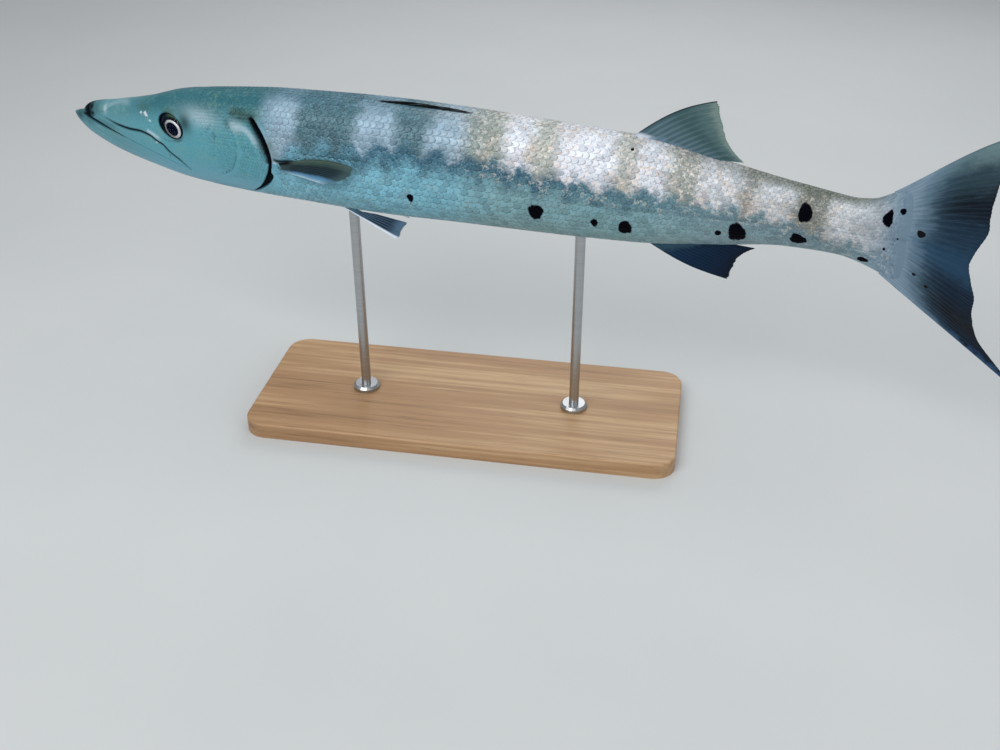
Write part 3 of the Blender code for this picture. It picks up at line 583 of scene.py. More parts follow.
# Socket and lid of the eye, and the nostrils: place, height, half length and half height of the
# opening in mm, its tilt and depth, and its rim's profile as the distance outwards and the lift in mm
Opening = namedtuple("Opening", "place height long tall tilt deep profile")
LID_PROFILE = ((-0.5, -6.0), (-0.5, -3.0), (-0.35, -1.5), (0.0, -0.60), (0.6, -0.12), (1.4, -0.02),
               (2.6, -0.10), (3.8, -0.26), (5.2, -1.00))
NOSTRIL_PROFILE = ((-0.2, -1.6), (-0.1, -0.6), (0.15, -0.10), (0.5, -0.02), (1.0, -0.20), (1.6, -0.80))
EYE_SOCKET = Opening(0.1462, 0.0098, 14.9, 11.6, math.radians(-24.0), 9.0, LID_PROFILE)
OPENINGS = (
    EYE_SOCKET,
    Opening(0.1040, 0.0146, 0.50, 0.90, math.radians(20.0), 1.2, NOSTRIL_PROFILE),
    Opening(0.1104, 0.0124, 0.75, 1.35, math.radians(25.0), 1.6, NOSTRIL_PROFILE),
)
OPENING_MARGIN = 1.4
LID_SEGMENTS, NOSTRIL_SEGMENTS = 72, 28  # points once around a rim


def opening_spread(opening, place, height):
    """How far out of an opening's middle points are; 1 is its edge."""
    x = (place - opening.place) * BODY_MM
    z = (height - opening.height) * BODY_MM
    u = x * math.cos(opening.tilt) + z * math.sin(opening.tilt)
    v = z * math.cos(opening.tilt) - x * math.sin(opening.tilt)
    return np.hypot(u / opening.long, v / opening.tall)


def openings_relief(place, height):
    """Relief in mm of the holes under the lids and nostrils."""
    relief = np.zeros(place.shape)
    for opening in OPENINGS:
        size = min(opening.long, opening.tall)
        away = (opening_spread(opening, place, height) - 1.0) * size
        margin = min(OPENING_MARGIN, size)
        relief -= opening.deep * (1.0 - rise(away, -0.5 * margin, margin))
    return relief


SCALED_COAT = 0.85           # mm that the skin lies inside the body's form where scales cover it
BARE_COAT = 0.25


def coat_depth(place):
    """How deep the skin lies inside the body's form, in mm."""
    return BARE_COAT + (SCALED_COAT - BARE_COAT) * rise(place, 0.160, 0.178)


# Where along the body a feature starts, is full, begins to end and ends
GROOVE_PLACES = (0.394, 0.406, 0.504, 0.512)
THROAT_PLACES = (0.150, 0.190, 0.238, 0.252)
GROOVE_DEPTH = 1.6           # mm
FOLD_SPACING, FOLD_HEIGHT = 4.6, 0.35    # mm


def dorsal_groove(place, share):
    """Relief in mm and painted shade of the groove in which the first dorsal fin lies folded."""
    across = (1.0 - share) * half_girth(place) * BODY_MM
    reach = window(place, *GROOVE_PLACES)
    relief = -GROOVE_DEPTH * reach * (1.0 - rise(across, 1.6, 3.2))
    return relief, reach * (1.0 - rise(across, 2.2, 4.2))


def throat_folds(place, share):
    """Relief in mm of the folded skin under the gill covers."""
    across = share * half_girth(place) * BODY_MM
    folds = np.sin(across * 2.0 * math.pi / FOLD_SPACING) * window(across, 1.0, 4.0, 20.0, 27.0)
    return FOLD_HEIGHT * folds * window(place, *THROAT_PLACES)


def blotches(place, height, side, on_fin=False):
    """How near points are to the middle of a side's black blotches: 0.5 at an edge, 0 far away.

    on_fin chooses the blotches of the tail fin; the others are the skin's.
    """
    found = np.zeros(place.shape)
    for marks, marked_side in ((LEFT_BLOTCHES, LEFT), (RIGHT_BLOTCHES, RIGHT)):
        for mark_place, mark_height, wide, tall in marks:
            if (mark_place > FIN_BLOTCH_START) != on_fin:
                continue
            x = (place - mark_place) * BODY_MM / (wide / 2)
            z = (height - mark_height) * BODY_MM / (tall / 2)
            lobes = 1.0 + 0.09 * np.sin(3.0 * np.arctan2(z, x) + mark_place * 90.0)
            inside = np.clip(1.0 - 0.5 * np.hypot(x, z) * lobes, 0.0, 1.0)
            found = np.maximum(found, np.where(side == marked_side, inside, 0.0))
    return found


# Dusky smudges on the tail's root: place, height, reach along and across in mm, strength
SMUDGES = ((0.963, 0.0110, 12.0, 8.0, 0.24), (0.925, -0.0100, 26.0, 5.0, 0.20),
           (0.985, 0.0320, 9.0, 5.0, 0.12))


def lateral_shade(place, height):
    """The faint dark thread of the lateral line, and the smudges behind it."""
    level = curve_through(LATERAL_LINE[:, 0], LATERAL_LINE[:, 1], place)
    shade = 0.20 * bell((height - level) * BODY_MM / 1.6) * rise(place, 0.262, 0.275)
    for mark_place, mark_height, long, tall, strength in SMUDGES:
        away = np.hypot((place - mark_place) * BODY_MM / long, (height - mark_height) * BODY_MM / tall)
        shade = np.maximum(shade, strength * bell(away))
    return shade


def paints(place, share, height, side):
    """The attributes that the skin's and the scales' colours read."""
    in_front = place < GILL_REACH
    paint = head_relief(place, height)[1] * in_front[..., None]
    dark, behind = gill_slot(place, height)[1:]
    # The shade channel gathers the painted shade of the gill opening, mouth slit and dorsal groove with the
    # lateral line's own dark thread
    paint[..., SHADES] = np.maximum.reduce([
        paint[..., SHADES], dark * in_front, mouth_relief(place, height)[1],
        dorsal_groove(place, share)[1], lateral_shade(place, height),
    ])
    # Painted shade, in olive, running up the gill cover in front of the opening
    run_up = window(behind, -13.0, -4.0, -2.0, 0.0) * rise(height, -0.004, 0.012)
    paint[..., OLIVES] = np.maximum(paint[..., OLIVES], 0.5 * run_up * in_front * (height < 0.043))
    border = height - curve_through(BAR_BORDER[:, 0], BAR_BORDER[:, 1], place)
    where = np.stack([share, border, blotches(place, height, side)], axis=-1)
    body = np.stack([place, side * flank_width(np.minimum(place, TAIL_END), height), height], axis=-1)
    return {"body": body, "paint": paint, "where": where}


def skin_relief(place, share, height):
    """The skin's relief in mm over the body's form, on one side."""
    relief = head_relief(place, height)[0] + gill_slot(place, height)[0] * (place < GILL_REACH)
    relief += mouth_relief(place, height)[0] + openings_relief(place, height)
    relief += dorsal_groove(place, share)[0] + throat_folds(place, share)
    return relief - coat_depth(place)


# Meshes


def make_piece(name, points, faces, material, attributes, uv=None, replaced=()):
    """A smooth mesh piece on the body; faces is a list of arrays of corner numbers.

    uv has a row for each point, or for each corner of the faces.
    """
    corners = np.concatenate([f.ravel() for f in faces]).astype(np.int32)
    sizes = np.concatenate([np.full(len(f), f.shape[1]) for f in faces])
    starts = np.concatenate([[0], np.cumsum(sizes)[:-1]]).astype(np.int32)
    mesh = bpy.data.meshes.new(name)
    mesh.vertices.add(len(points))
    mesh.vertices.foreach_set("co", np.asarray(points, dtype=np.float32).ravel())
    mesh.loops.add(len(corners))
    mesh.loops.foreach_set("vertex_index", corners)
    mesh.polygons.add(len(sizes))
    mesh.polygons.foreach_set("loop_start", starts)
    mesh.update(calc_edges=True)
    for key, values in attributes.items():
        made = mesh.attributes.new(key, "FLOAT_VECTOR", "POINT")
        made.data.foreach_set("vector", np.asarray(values, dtype=np.float32).ravel())
    if uv is not None:
        of_corners = uv[corners] if len(uv) == len(points) else uv
        layer = mesh.uv_layers.new(name="OFBake")
        layer.data.foreach_set("uv", np.asarray(of_corners, dtype=np.float32).ravel())
    mesh.shade_smooth()
    mesh.materials.append(material)
    thing = bpy.data.objects.new(name, mesh)
    bpy.context.scene.collection.objects.link(thing)
    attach(thing, "root")
    if replaced:
        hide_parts(*replaced)
    return thing


def cells(grid):
    """The four corners of each cell of a grid."""
    return np.stack([grid[:-1, :-1], grid[1:, :-1], grid[1:, 1:], grid[:-1, 1:]], axis=2)


def grid_faces(numbers, closed=False):
    """Quads over a grid of vertex numbers; closed joins the last column to the first."""
    if closed:
        numbers = np.concatenate([numbers, numbers[:, :1]], axis=1)
    return cells(numbers).reshape(-1, 4)


def tube_faces(numbers):
    """Sides and both ends of a tube over rings of vertex numbers."""
    return [grid_faces(numbers, closed=True), numbers[:1, ::-1], numbers[-1:]]


def fan(tip, ring):
    """Triangles from a tip to a closed ring of vertex numbers."""
    return np.stack([np.full(len(ring), tip), ring, np.roll(ring, -1)], axis=-1)


def wall(first, second):
    """Quads between two closed rings of vertex numbers."""
    return np.stack([first, np.roll(first, -1), np.roll(second, -1), second], axis=-1)


def outer_points(rows, columns):
    """Row and column numbers of a grid's outer points, once around."""
    ring = [(0, c) for c in range(columns)] + [(r, columns - 1) for r in range(1, rows)]
    ring += [(rows - 1, c) for c in range(columns - 2, -1, -1)] + [(r, 0) for r in range(rows - 2, 0, -1)]
    return np.array(ring).T


# Spacing of the skin's rings in mm at places
RING_SPACING = np.array([
    (-0.0220, 0.7), (-0.0050, 0.35), (0.0015, 0.35), (0.0100, 0.9), (0.0500, 1.15), (0.2400, 1.15),
    (0.2620, 0.55), (0.2860, 0.55), (0.3000, 1.3), (0.3400, 3.0), (0.4000, 4.6), (0.9000, 4.6),
    (0.9850, 2.4), (1.0350, 2.0),
])
SIDE_COLUMNS = 100
MOUTH_FAN = (-2.4, -1.5, -0.95, -0.6, -0.3, 0.0, 0.3, 0.6, 0.95, 1.5, 2.4)
MAXILLA_FAN = (-1.9, -1.15, -0.65, -0.2, 0.2, 0.65, 1.15, 1.9)
BELOW_MOUTH = 21             # columns below the mouth's fan and between the fans
BETWEEN_FANS = 13
FANS_APART = 7.5             # mm between the middles of the two fans, at least
FULL_FANS = 30.0             # mm of half girth under which the fans are drawn together
HIGHEST_MOUTH, HIGHEST_GROOVE = 0.72, 0.90       # shares
RELIEF_ROOM = 4.0            # mm of half width under which the skin's relief fades


def ring_places():
    """Places of the skin's rings."""
    places = [BODY_START]
    while places[-1] < SKIN_END:
        step = np.interp(places[-1], RING_SPACING[:, 0], RING_SPACING[:, 1]) / BODY_MM
        places.append(places[-1] + step)
    return np.array(places[:-1] + [SKIN_END])


def column_shares(place):
    """Shares of one ring's columns, drawn close along the mouth and the upper jaw's groove."""
    even = np.linspace(0.0, 1.0, SIDE_COLUMNS + 1)
    fanned = window(place, -0.014, -0.002, 0.158, 0.240)
    if fanned <= 0.0:
        return even
    girth = HALF_GIRTH[table_row(place)] * BODY_MM
    mouth = min(share_at(place, mouth_height(place)), HIGHEST_MOUTH)
    groove = share_at(place, np.interp(place, *np.array(((-0.01, 0.0012),) + MAXILLA).T))
    groove = min(max(groove, mouth + FANS_APART / girth), HIGHEST_GROOVE)
    drawn = min(1.0, girth / FULL_FANS)
    mouth_fan = mouth + np.array(MOUTH_FAN) * drawn / girth
    groove_fan = groove + np.array(MAXILLA_FAN) * drawn / girth
    above = SIDE_COLUMNS + 1 - BELOW_MOUTH - BETWEEN_FANS - len(MOUTH_FAN) - len(MAXILLA_FAN)
    shares = np.concatenate([
        np.linspace(0.0, mouth_fan[0], BELOW_MOUTH + 1)[:-1],
        mouth_fan,
        np.linspace(mouth_fan[-1], groove_fan[0], BETWEEN_FANS + 2)[1:-1],
        groove_fan,
        np.linspace(groove_fan[-1], 1.0, above + 1)[1:],
    ])
    return even + (shares - even) * fanned


def skin_lattice():
    """Places and shares of the skin's vertices on one side; rings bow with the gill cover's edge."""
    rings = ring_places()[:, None]
    share = np.array([column_shares(p) for p in rings[:, 0]])
    place = np.repeat(rings, SIDE_COLUMNS + 1, axis=1)
    bow = window(rings, 0.095, 0.225, 0.292, 0.430)
    for _ in range(3):
        height = on_flank(place, share)[3]
        place = rings + bow * (gill_edge(height) - GILL_EDGE)
    return place, share


def around_body(left, right):
    """Columns once around the body: the left side's upwards, then the right side's downwards."""
    return np.concatenate([left, right[:, SIDE_COLUMNS - 1:0:-1]], axis=1)


def sheath_end(end):
    """Faces that close the last ring, from side to side."""
    upper = end[:SIDE_COLUMNS + 1]
    lower = np.concatenate([[end[0]], end[:SIDE_COLUMNS:-1], [end[SIDE_COLUMNS]]])
    across = np.stack([upper[1:-2], lower[1:-2], lower[2:-1], upper[2:-1]], axis=-1)
    return [across, np.array([[upper[0], lower[1], upper[1]], [upper[-2], lower[-2], upper[-1]]])]


# The unwrap: the skin's own square, a point for the faces of its two ends, and a square for each rim
SKIN_SQUARE, SKIN_CORNER = 0.90, 0.01
ENDS_AT = 0.005
RIM_SQUARE, RIM_CORNER, RIM_SPACING = 0.06, (0.93, 0.02), 0.075


def skin_unwrap(rows, columns):
    """Map positions of the skin's quads: rows run along the body and columns around it."""
    u, v = lattice(np.arange(rows) / (rows - 1), np.arange(columns + 1) / columns)
    return cells(np.stack([u, v], axis=-1) * SKIN_SQUARE + SKIN_CORNER).reshape(-1, 2)


def rim_unwrap(rows, columns, number, side):
    """Map positions of a rim's quads, in a small square of their own."""
    u, v = lattice(np.arange(rows) / rows * RIM_SQUARE, np.arange(columns + 1) / columns * RIM_SQUARE)
    flat = np.stack([RIM_CORNER[0] + u, RIM_CORNER[1] + number * RIM_SPACING + v], axis=-1)
    quads = cells(flat).reshape(-1, 4, 2)
    return (quads[:, ::-1] if side == LEFT else quads).reshape(-1, 2)


def make_rim(opening, side, first):
    """A smooth rim around an opening: points, faces numbered from first, and attributes."""
    is_eye = opening is EYE_SOCKET
    profile = np.array(opening.profile)
    out, angle = lattice(profile[:, 0], turns(LID_SEGMENTS if is_eye else NOSTRIL_SEGMENTS))
    lift = np.broadcast_to(profile[:, 1:], out.shape)
    u = (opening.long + out) * np.cos(angle)
    v = (opening.tall + out) * np.sin(angle)
    place = opening.place + (u * math.cos(opening.tilt) - v * math.sin(opening.tilt)) / BODY_MM
    height = opening.height + (u * math.sin(opening.tilt) + v * math.cos(opening.tilt)) / BODY_MM
    share = np.vectorize(share_at)(place, height)
    here, normal = surface_frame(place, share, side)
    faces = grid_faces(first + np.arange(out.size).reshape(out.shape), closed=True)
    if side == LEFT:
        faces = faces[:, ::-1]
    attributes = paints(place, share, height, np.full(place.shape, side))
    paint = attributes["paint"]
    # Painted shade deepening into the eye socket and the nostrils, and a faint painted highlight on the
    # nostrils' rims
    deep = 1.0 - (rise(out, 0.1, 1.9) if is_eye else rise(lift, -1.0, -0.2))
    paint[..., SHADES] = np.maximum(paint[..., SHADES], deep)
    if not is_eye:
        paint[..., GLINTS] = np.maximum(paint[..., GLINTS], 0.15 * (1.0 - deep))
    return here + normal * lift[..., None] * MM, faces, attributes


def make_skin(material):
    """One skin for all the flesh, with the rims of the eyes and nostrils."""
    place, share = skin_lattice()
    across, _, height = on_flank(place, share)[1:]
    relief = skin_relief(place, share, height)
    form = around_body(straight(place, share, LEFT), straight(place, share, RIGHT))
    around = np.roll(form, -1, axis=1) - np.roll(form, 1, axis=1)
    normal = unit(np.cross(np.gradient(form, axis=0), around))
    held = np.minimum(across.max(axis=1, keepdims=True) * BODY_MM / RELIEF_ROOM, 1.0)
    points = bent(form + normal * (around_body(relief, relief) * held)[..., None] * MM)
    left, right = (paints(place, share, height, np.full(place.shape, side)) for side in (LEFT, RIGHT))
    attributes = {key: around_body(left[key], right[key]).reshape(-1, 3) for key in left}

    rows, columns = form.shape[:2]
    numbers = np.arange(rows * columns).reshape(rows, columns)
    ends = [*sheath_end(numbers[-1]), fan(rows * columns, numbers[0])]
    faces = [grid_faces(numbers, closed=True)] + ends
    points = np.concatenate([points.reshape(-1, 3), [points[0].mean(axis=0)]])
    attributes = {key: np.concatenate([values, values[:1]]) for key, values in attributes.items()}
    unwrap = [skin_unwrap(rows, columns)] + [np.full((f.size, 2), ENDS_AT) for f in ends]

    rims = [(opening, side) for opening in OPENINGS for side in (LEFT, RIGHT)]
    for number, (opening, side) in enumerate(rims):
        rim_points, rim_faces, rim_attributes = make_rim(opening, side, len(points))
        points = np.concatenate([points, rim_points.reshape(-1, 3)])
        faces.append(rim_faces)
        for key, values in rim_attributes.items():
            attributes[key] = np.concatenate([attributes[key], values.reshape(-1, 3)])
        unwrap.append(rim_unwrap(*rim_points.shape[:2], number, side))
    return make_piece("skin", points, faces, material, attributes, np.concatenate(unwrap), (
        "head", "lower_jaw", "gill_cover_left", "gill_cover_right", "trunk_front", "trunk_middle",
        "trunk_rear", "tail_peduncle"))


# Scales

SCALE_ROWS = 24              # rows on each side of the trunk
HEAD_SCALE_ROWS = 40
SCALE_SPACING = np.array([(0.17, 3.6), (0.24, 5.0), (0.32, 6.6), (0.50, 7.2), (0.75, 6.4), (0.92, 4.6),
                          (1.04, 3.6)])
HEAD_SCALE_SPACING = 3.3
NAPE_START = 0.178
NAPE_LEVEL = 0.041           # above it the trunk's rows run on over the nape
FACE_START = 0.168
SCALE_PATCH = 0.003          # size of a scale's patch in the OFBake map
SCALES_END = 1.006
Seeds = namedtuple("Seeds", "place share side long wide lift thick row")


def face_start(height):
    """Where the head's scales start, further back on the lower cheek."""
    return np.where(height > NAPE_LEVEL, NAPE_START, FACE_START + 0.35 * np.maximum(0.030 - height, 0.0))


def bare(place, share, height):
    """Where no scales grow: snout, jaws, eyes, gill opening, fin roots."""
    slot = gill_slot(place, height)[2]
    front = slot < 0.0
    behind_cover = (place - gill_edge(height)) * BODY_MM
    near_slot = (behind_cover > -6.0) & (slot < 1.2) & (height < 0.042) & (height > -0.062)
    jaw = (height < mouth_height(place) + 0.016) & (place < 0.200)
    face = face_start(height) > place
    eye = opening_spread(EYE_SOCKET, place, height) < 1.45
    cheek_edge = np.abs(off_line(place, height, PREOPERCLE)[0]) < 1.6
    throat = height < -0.040
    pectoral = np.hypot((place - 0.2905) * BODY_MM / 6.5, (height + 0.0100) * BODY_MM / 9.5) < 1.0
    groove = dorsal_groove(place, np.clip(share, 0.0, 1.0))[1] > 0.5
    return near_slot | (front & (jaw | face | cheek_edge | throat)) | eye | pectoral | groove


def seeds_on(rows, spacing, start, end, region):
    """Roots of staggered scales in rows along the body, kept where region() says so."""
    fine = np.linspace(start, end, 4000)
    count = np.concatenate([[0.0], np.cumsum(np.diff(fine) * BODY_MM / spacing((fine[1:] + fine[:-1]) / 2))])
    found = []
    for row in range(rows):
        at = np.arange(0.0, count[-1], 1.0) + 0.5 * (row % 2)
        place = np.interp(at, count, fine)
        found.append(np.stack([place, np.full(len(place), (row + 0.5) / rows), np.full(len(place), row)]))
    place, share, row = np.tile(np.concatenate(found, axis=1), 2)
    side = np.repeat([LEFT, RIGHT], len(place) // 2)
    place = place + RNG.normal(0.0, 0.03, len(place)) * spacing(place) / BODY_MM
    keep = region(place, share, on_flank(place, share)[3])
    return place[keep], share[keep], side[keep], row[keep]


# A plate's length and width, as shares of the spacing of its rows, and its lift and thickness in mm
TRUNK_PLATE = (1.70, 1.28)
HEAD_PLATE = (1.65, 1.24)
PLATE_LIFT = 0.20
PLATE_THICKNESS = 0.09
HEAD_SCALE_PLACES = (0.160, 0.275)


def trunk_seeds():
    """Scales behind the gill opening."""
    def spacing(place):
        return np.interp(place, SCALE_SPACING[:, 0], SCALE_SPACING[:, 1])

    def region(place, share, height):
        slot = gill_slot(place, height)[2]
        behind = np.where(height > NAPE_LEVEL, place > NAPE_START, slot > 1.0)
        behind &= (height > -0.060) | (place > 0.246)
        return behind & ~bare(place, share, height)

    place, share, side, row = seeds_on(SCALE_ROWS, spacing, NAPE_START, SCALES_END, region)
    wide = half_girth(place) * BODY_MM / SCALE_ROWS * TRUNK_PLATE[1]
    young = 0.30 + 0.70 * rise(place, NAPE_START, NAPE_START + 0.10)
    thin = young * (1.0 - 0.75 * rise(place, 0.84, 1.03))
    return Seeds(place, share, side, spacing(place) * TRUNK_PLATE[0], wide, PLATE_LIFT * thin,
                 PLATE_THICKNESS * thin, row)


def head_seeds():
    """Small scales of the cheek, the gill cover and the nape."""
    def spacing(place):
        return np.full_like(place, HEAD_SCALE_SPACING)

    def region(place, share, height):
        slot = gill_slot(place, height)[2]
        return (slot < 0.0) & (height < NAPE_LEVEL) & ~bare(place, share, height)

    place, share, side, row = seeds_on(HEAD_SCALE_ROWS, spacing, *HEAD_SCALE_PLACES, region)
    behind = place - face_start(on_flank(place, share)[3])
    grown = RNG.uniform(0.0, 1.0, len(place)) < 0.12 + rise(behind, 0.000, 0.020)
    place, share, side, row, behind = (v[grown] for v in (place, share, side, row, behind))
    wide = half_girth(place) * BODY_MM / HEAD_SCALE_ROWS * HEAD_PLATE[1]
    young = 0.25 + 0.75 * rise(behind, 0.0, 0.040)
    return Seeds(place, share, side, HEAD_SCALE_SPACING * HEAD_PLATE[0], wide, PLATE_LIFT * young,
                 PLATE_THICKNESS * young, row)


PLATE_ROWS = (0.0, 0.45, 0.80, 1.0)      # where along a plate its rows of points lie
PLATE_COLUMNS = 6
PLATE_ROUNDING = 0.34        # how far a plate's free corners are drawn in
PLATE_SKEW = 0.035           # spread of the plates' random turns and tilts


def each(values):
    """One value for each plate, over the grids of all plates."""
    return values[:, None, None]


def make_scales(name, seeds, chosen, material):
    """Closed thin plates that overlap towards the tail, joined into one piece."""
    seeds = Seeds(*(np.broadcast_to(v, seeds.place.shape)[chosen] for v in seeds))
    count = len(seeds.place)
    u, v = lattice(PLATE_ROWS, np.linspace(-1.0, 1.0, PLATE_COLUMNS))
    along = u * (1.0 - PLATE_ROUNDING * np.abs(v) ** 2.2)
    across = v * (0.80 + 0.20 * np.sin(math.pi * np.minimum(u + 0.15, 1.0)))
    camber = -0.08 * v**2 * (0.4 + u)        # a plate's sides and root turn down, in mm
    root = -0.30 * (1.0 - u) ** 3

    turn = RNG.normal(0.0, PLATE_SKEW, count)
    tilt = RNG.normal(0.0, PLATE_SKEW, count)
    stack = 0.04 * (seeds.row % 2)
    x = along * each(seeds.long) + each(turn) * across * each(seeds.wide) * 0.5
    y = across * each(seeds.wide) * 0.5 - each(turn) * along * each(seeds.long)
    place = np.minimum(each(seeds.place) + x / BODY_MM, SKIN_END)
    share = each(seeds.share) - y * each(seeds.side) / each(half_girth(seeds.place) * BODY_MM)
    side = np.broadcast_to(each(seeds.side), place.shape)
    here, normal = surface_frame(place, share, side)
    base = 0.02 - each(coat_depth(seeds.place)) + u**0.8 * each(seeds.lift) + camber + root
    base = base + each(tilt) * across + each(stack)
    top = here + normal * base[..., None] * MM
    under = here + normal * (base - each(seeds.thick))[..., None] * MM

    # A plate's top is a grid of points; its underside has only the points of its border
    ring_rows, ring_columns = outer_points(*u.shape)

    def all_points(values):
        values = np.broadcast_to(values, place.shape)
        return np.concatenate([values.reshape(count, -1), values[:, ring_rows, ring_columns]], axis=1)

    points = np.concatenate([top.reshape(count, -1, 3), under[:, ring_rows, ring_columns]], axis=1)
    numbers = np.arange(u.size).reshape(u.shape)
    lower = u.size + np.arange(len(ring_rows))
    beneath = np.zeros(u.shape, int)
    beneath[ring_rows, ring_columns] = lower
    first, last = beneath[:, 0], beneath[:, -1]
    middle = np.stack([first[1:-2], last[1:-2], last[2:-1], first[2:-1]], axis=-1)
    front = [*beneath[0], last[1], first[1]]
    back = [first[-2], last[-2], *beneath[-1, ::-1]]
    rim = wall(numbers[ring_rows, ring_columns], lower)
    plate = (grid_faces(numbers), rim, middle, np.array([front, back]))
    starts = each(np.arange(count) * points.shape[1])
    faces = [(starts + f).reshape(-1, f.shape[1]) for f in plate]

    place_of, share_of = all_points(place), np.clip(all_points(share), 0.0, 1.0)
    attributes = paints(place_of, share_of, on_flank(place_of, share_of)[3], all_points(side))
    tint = each(RNG.uniform(0.0, 1.0, count))
    attributes["scale"] = np.stack([all_points(tint), all_points(along), all_points(v)], axis=-1)
    root_u = 0.02 + 0.95 * (seeds.place - BODY_START) / (SKIN_END - BODY_START)
    root_v = 0.01 + 0.98 * np.where(seeds.side == LEFT, 0.5 * seeds.share, 1.0 - 0.5 * seeds.share)
    patch_u = all_points(each(root_u) + (along - 0.5) * SCALE_PATCH)
    patch_v = all_points(each(root_v) + v * SCALE_PATCH / 2)
    uv = np.stack([patch_u, patch_v], axis=-1).reshape(-1, 2)
    return make_piece(name, points.reshape(-1, 3), faces, material, attributes, uv)


# Fins

BLADE_THINNING = 0.55        # thickness between the rays, as a share of the blade's own


def rayed_fin(name, sheet, rays, material, node, root, edge, ray_height, branch=0.35,
              rows=36, per_ray=8, ragged=0.012, blotched=False, ray_start=None):
    """A fin with raised, branching rays on both faces; sheet(share, row) gives its straight points.

    root, edge and ray_height are half thicknesses in mm.
    """
    # A ray is highest on its own line, and splits in two from the row branch on
    count = (rays - 1) * per_ray + 1
    share, row = lattice(np.linspace(0.0, 1.0, count), np.linspace(0.0, 1.0, rows))
    phase = share * (rays - 1)
    off = phase - np.round(phase)
    split = 0.24 * rise(row, branch, 1.0)
    width = 0.20 - 0.09 * rise(row, branch, branch + 0.15)
    ridge = np.minimum(bell((off - split) / width) + bell((off + split) / width), 1.0)
    notch = ragged * (1.0 - ridge) * rise(row, 0.75, 1.0)
    wear = ragged * 0.6 * np.sin(phase * 2.3 + 1.7 * np.sin(phase * 0.9)) * rise(row, 0.8, 1.0)
    grid = sheet(share, row * (1.0 - notch - wear))
    normal = unit(np.cross(np.gradient(grid, axis=0), np.gradient(grid, axis=1)))

    joints = 1.0 + 0.12 * np.sin(row * 150.0) * rise(row, 0.35, 0.5)
    raised = rise(row, *ray_start) if ray_start else 1.0
    half = BLADE_THINNING * (root + (edge - root) * row**0.7)
    half += ray_height * ridge * raised * joints * (1.0 - 0.65 * row)
    half *= 1.0 - 0.55 * rise(row, 0.93, 1.0)
    half *= 0.55 + 0.45 * rise(np.minimum(share, 1.0 - share) * count, 0.0, 3.0)
    points = [bent(grid + sign * half[..., None] * normal * MM) for sign in (1.0, -1.0)]

    numbers = np.arange(2 * count * rows).reshape(2, count, rows)
    rim_rows, rim_rays = outer_points(rows, count)
    faces = [grid_faces(numbers[0]), grid_faces(numbers[1])[:, ::-1], wall(*numbers[:, rim_rays, rim_rows])]
    attributes = {"fin": np.stack([np.stack([share, row, ridge], axis=-1)] * 2)}
    if blotched:
        place, height = grid[..., 0] / BODY_LENGTH, grid[..., 2] / BODY_LENGTH
        facing = [np.where(normal[..., 1] * sign < 0.0, LEFT, RIGHT) for sign in (1.0, -1.0)]
        marks = [blotches(place, height, side, on_fin=True) for side in facing]
        attributes["where"] = np.stack([np.stack([share, np.zeros_like(m), m], axis=-1) for m in marks])
    return make_piece(name, np.concatenate(points).reshape(-1, 3), faces, material, attributes,
                      replaced=(node,))


def between(start, end, share):
    """Points between two points."""
    start, end = np.asarray(start), np.asarray(end)
    return start + (end - start) * np.asarray(share)[..., None]


HEEL_REACH = 0.018           # how far the last ray of a median fin trails behind the others
HEEL_DROP = 0.006            # and how much nearer to the body it ends
ROOT_SUNK = 0.0022           # how deep the fin's root lies in the body


def median_sheet(base, rear, field, bow):
    """The middle sheet of the second dorsal or the anal fin, as the CAD has it."""
    upward = 1.0 if field == TOP else -1.0

    def sheet(share, row):
        place = base[0] + (base[1] - base[0]) * share
        root = np.stack([place, station(field, place) - upward * ROOT_SUNK], axis=-1)
        heel = share[..., None] ** 8 * np.array([HEEL_REACH, -upward * HEEL_DROP])
        end = between(rear[0], rear[1], share) + heel
        at = root + (end - root) * row[..., None]
        z = at[..., 1] + bow * np.sin(math.pi * row) * (1.0 - share) ** 2
        return np.stack([at[..., 0], np.zeros_like(z), z], axis=-1) * BODY_LENGTH

    return sheet


PECTORAL_ROOT = ((0.2888, -0.0066), (0.2930, -0.0170))
PECTORAL_TIPS = ((0.3820, 0.0085), (0.3450, -0.0200))
PECTORAL_LIFT = 0.0090
PECTORAL_ARCH = 0.0066       # how far its upper edge bows up
PECTORAL_SWELL = 0.0125      # and its rear edge backwards
PELVIC_ROOT = ((0.3530, -0.0655), (0.3680, -0.0650))
PELVIC_TIPS = ((0.4220, -0.0925), (0.4350, -0.0680))
PELVIC_SPREAD = (0.0170, 0.0310)


def pectoral_sheet(side):
    """The pectoral fin lies back along the flank and lifts towards its tip."""
    def sheet(share, row):
        root = between(*PECTORAL_ROOT, share)
        tip = between(*PECTORAL_TIPS, share)
        swell = PECTORAL_SWELL * np.sin(math.pi * share) * row**2
        arch = PECTORAL_ARCH * (1.0 - share) ** 1.5 * np.sin(math.pi * row**1.15)
        at = root + (tip - root) * row[..., None]
        at = at + np.stack([swell, arch], axis=-1)
        y = flank_width(at[..., 0], at[..., 1]) * BODY_LENGTH + 0.0006 + PECTORAL_LIFT * row**1.4
        return np.stack([at[..., 0] * BODY_LENGTH, side * y, at[..., 1] * BODY_LENGTH], axis=-1)

    return sheet


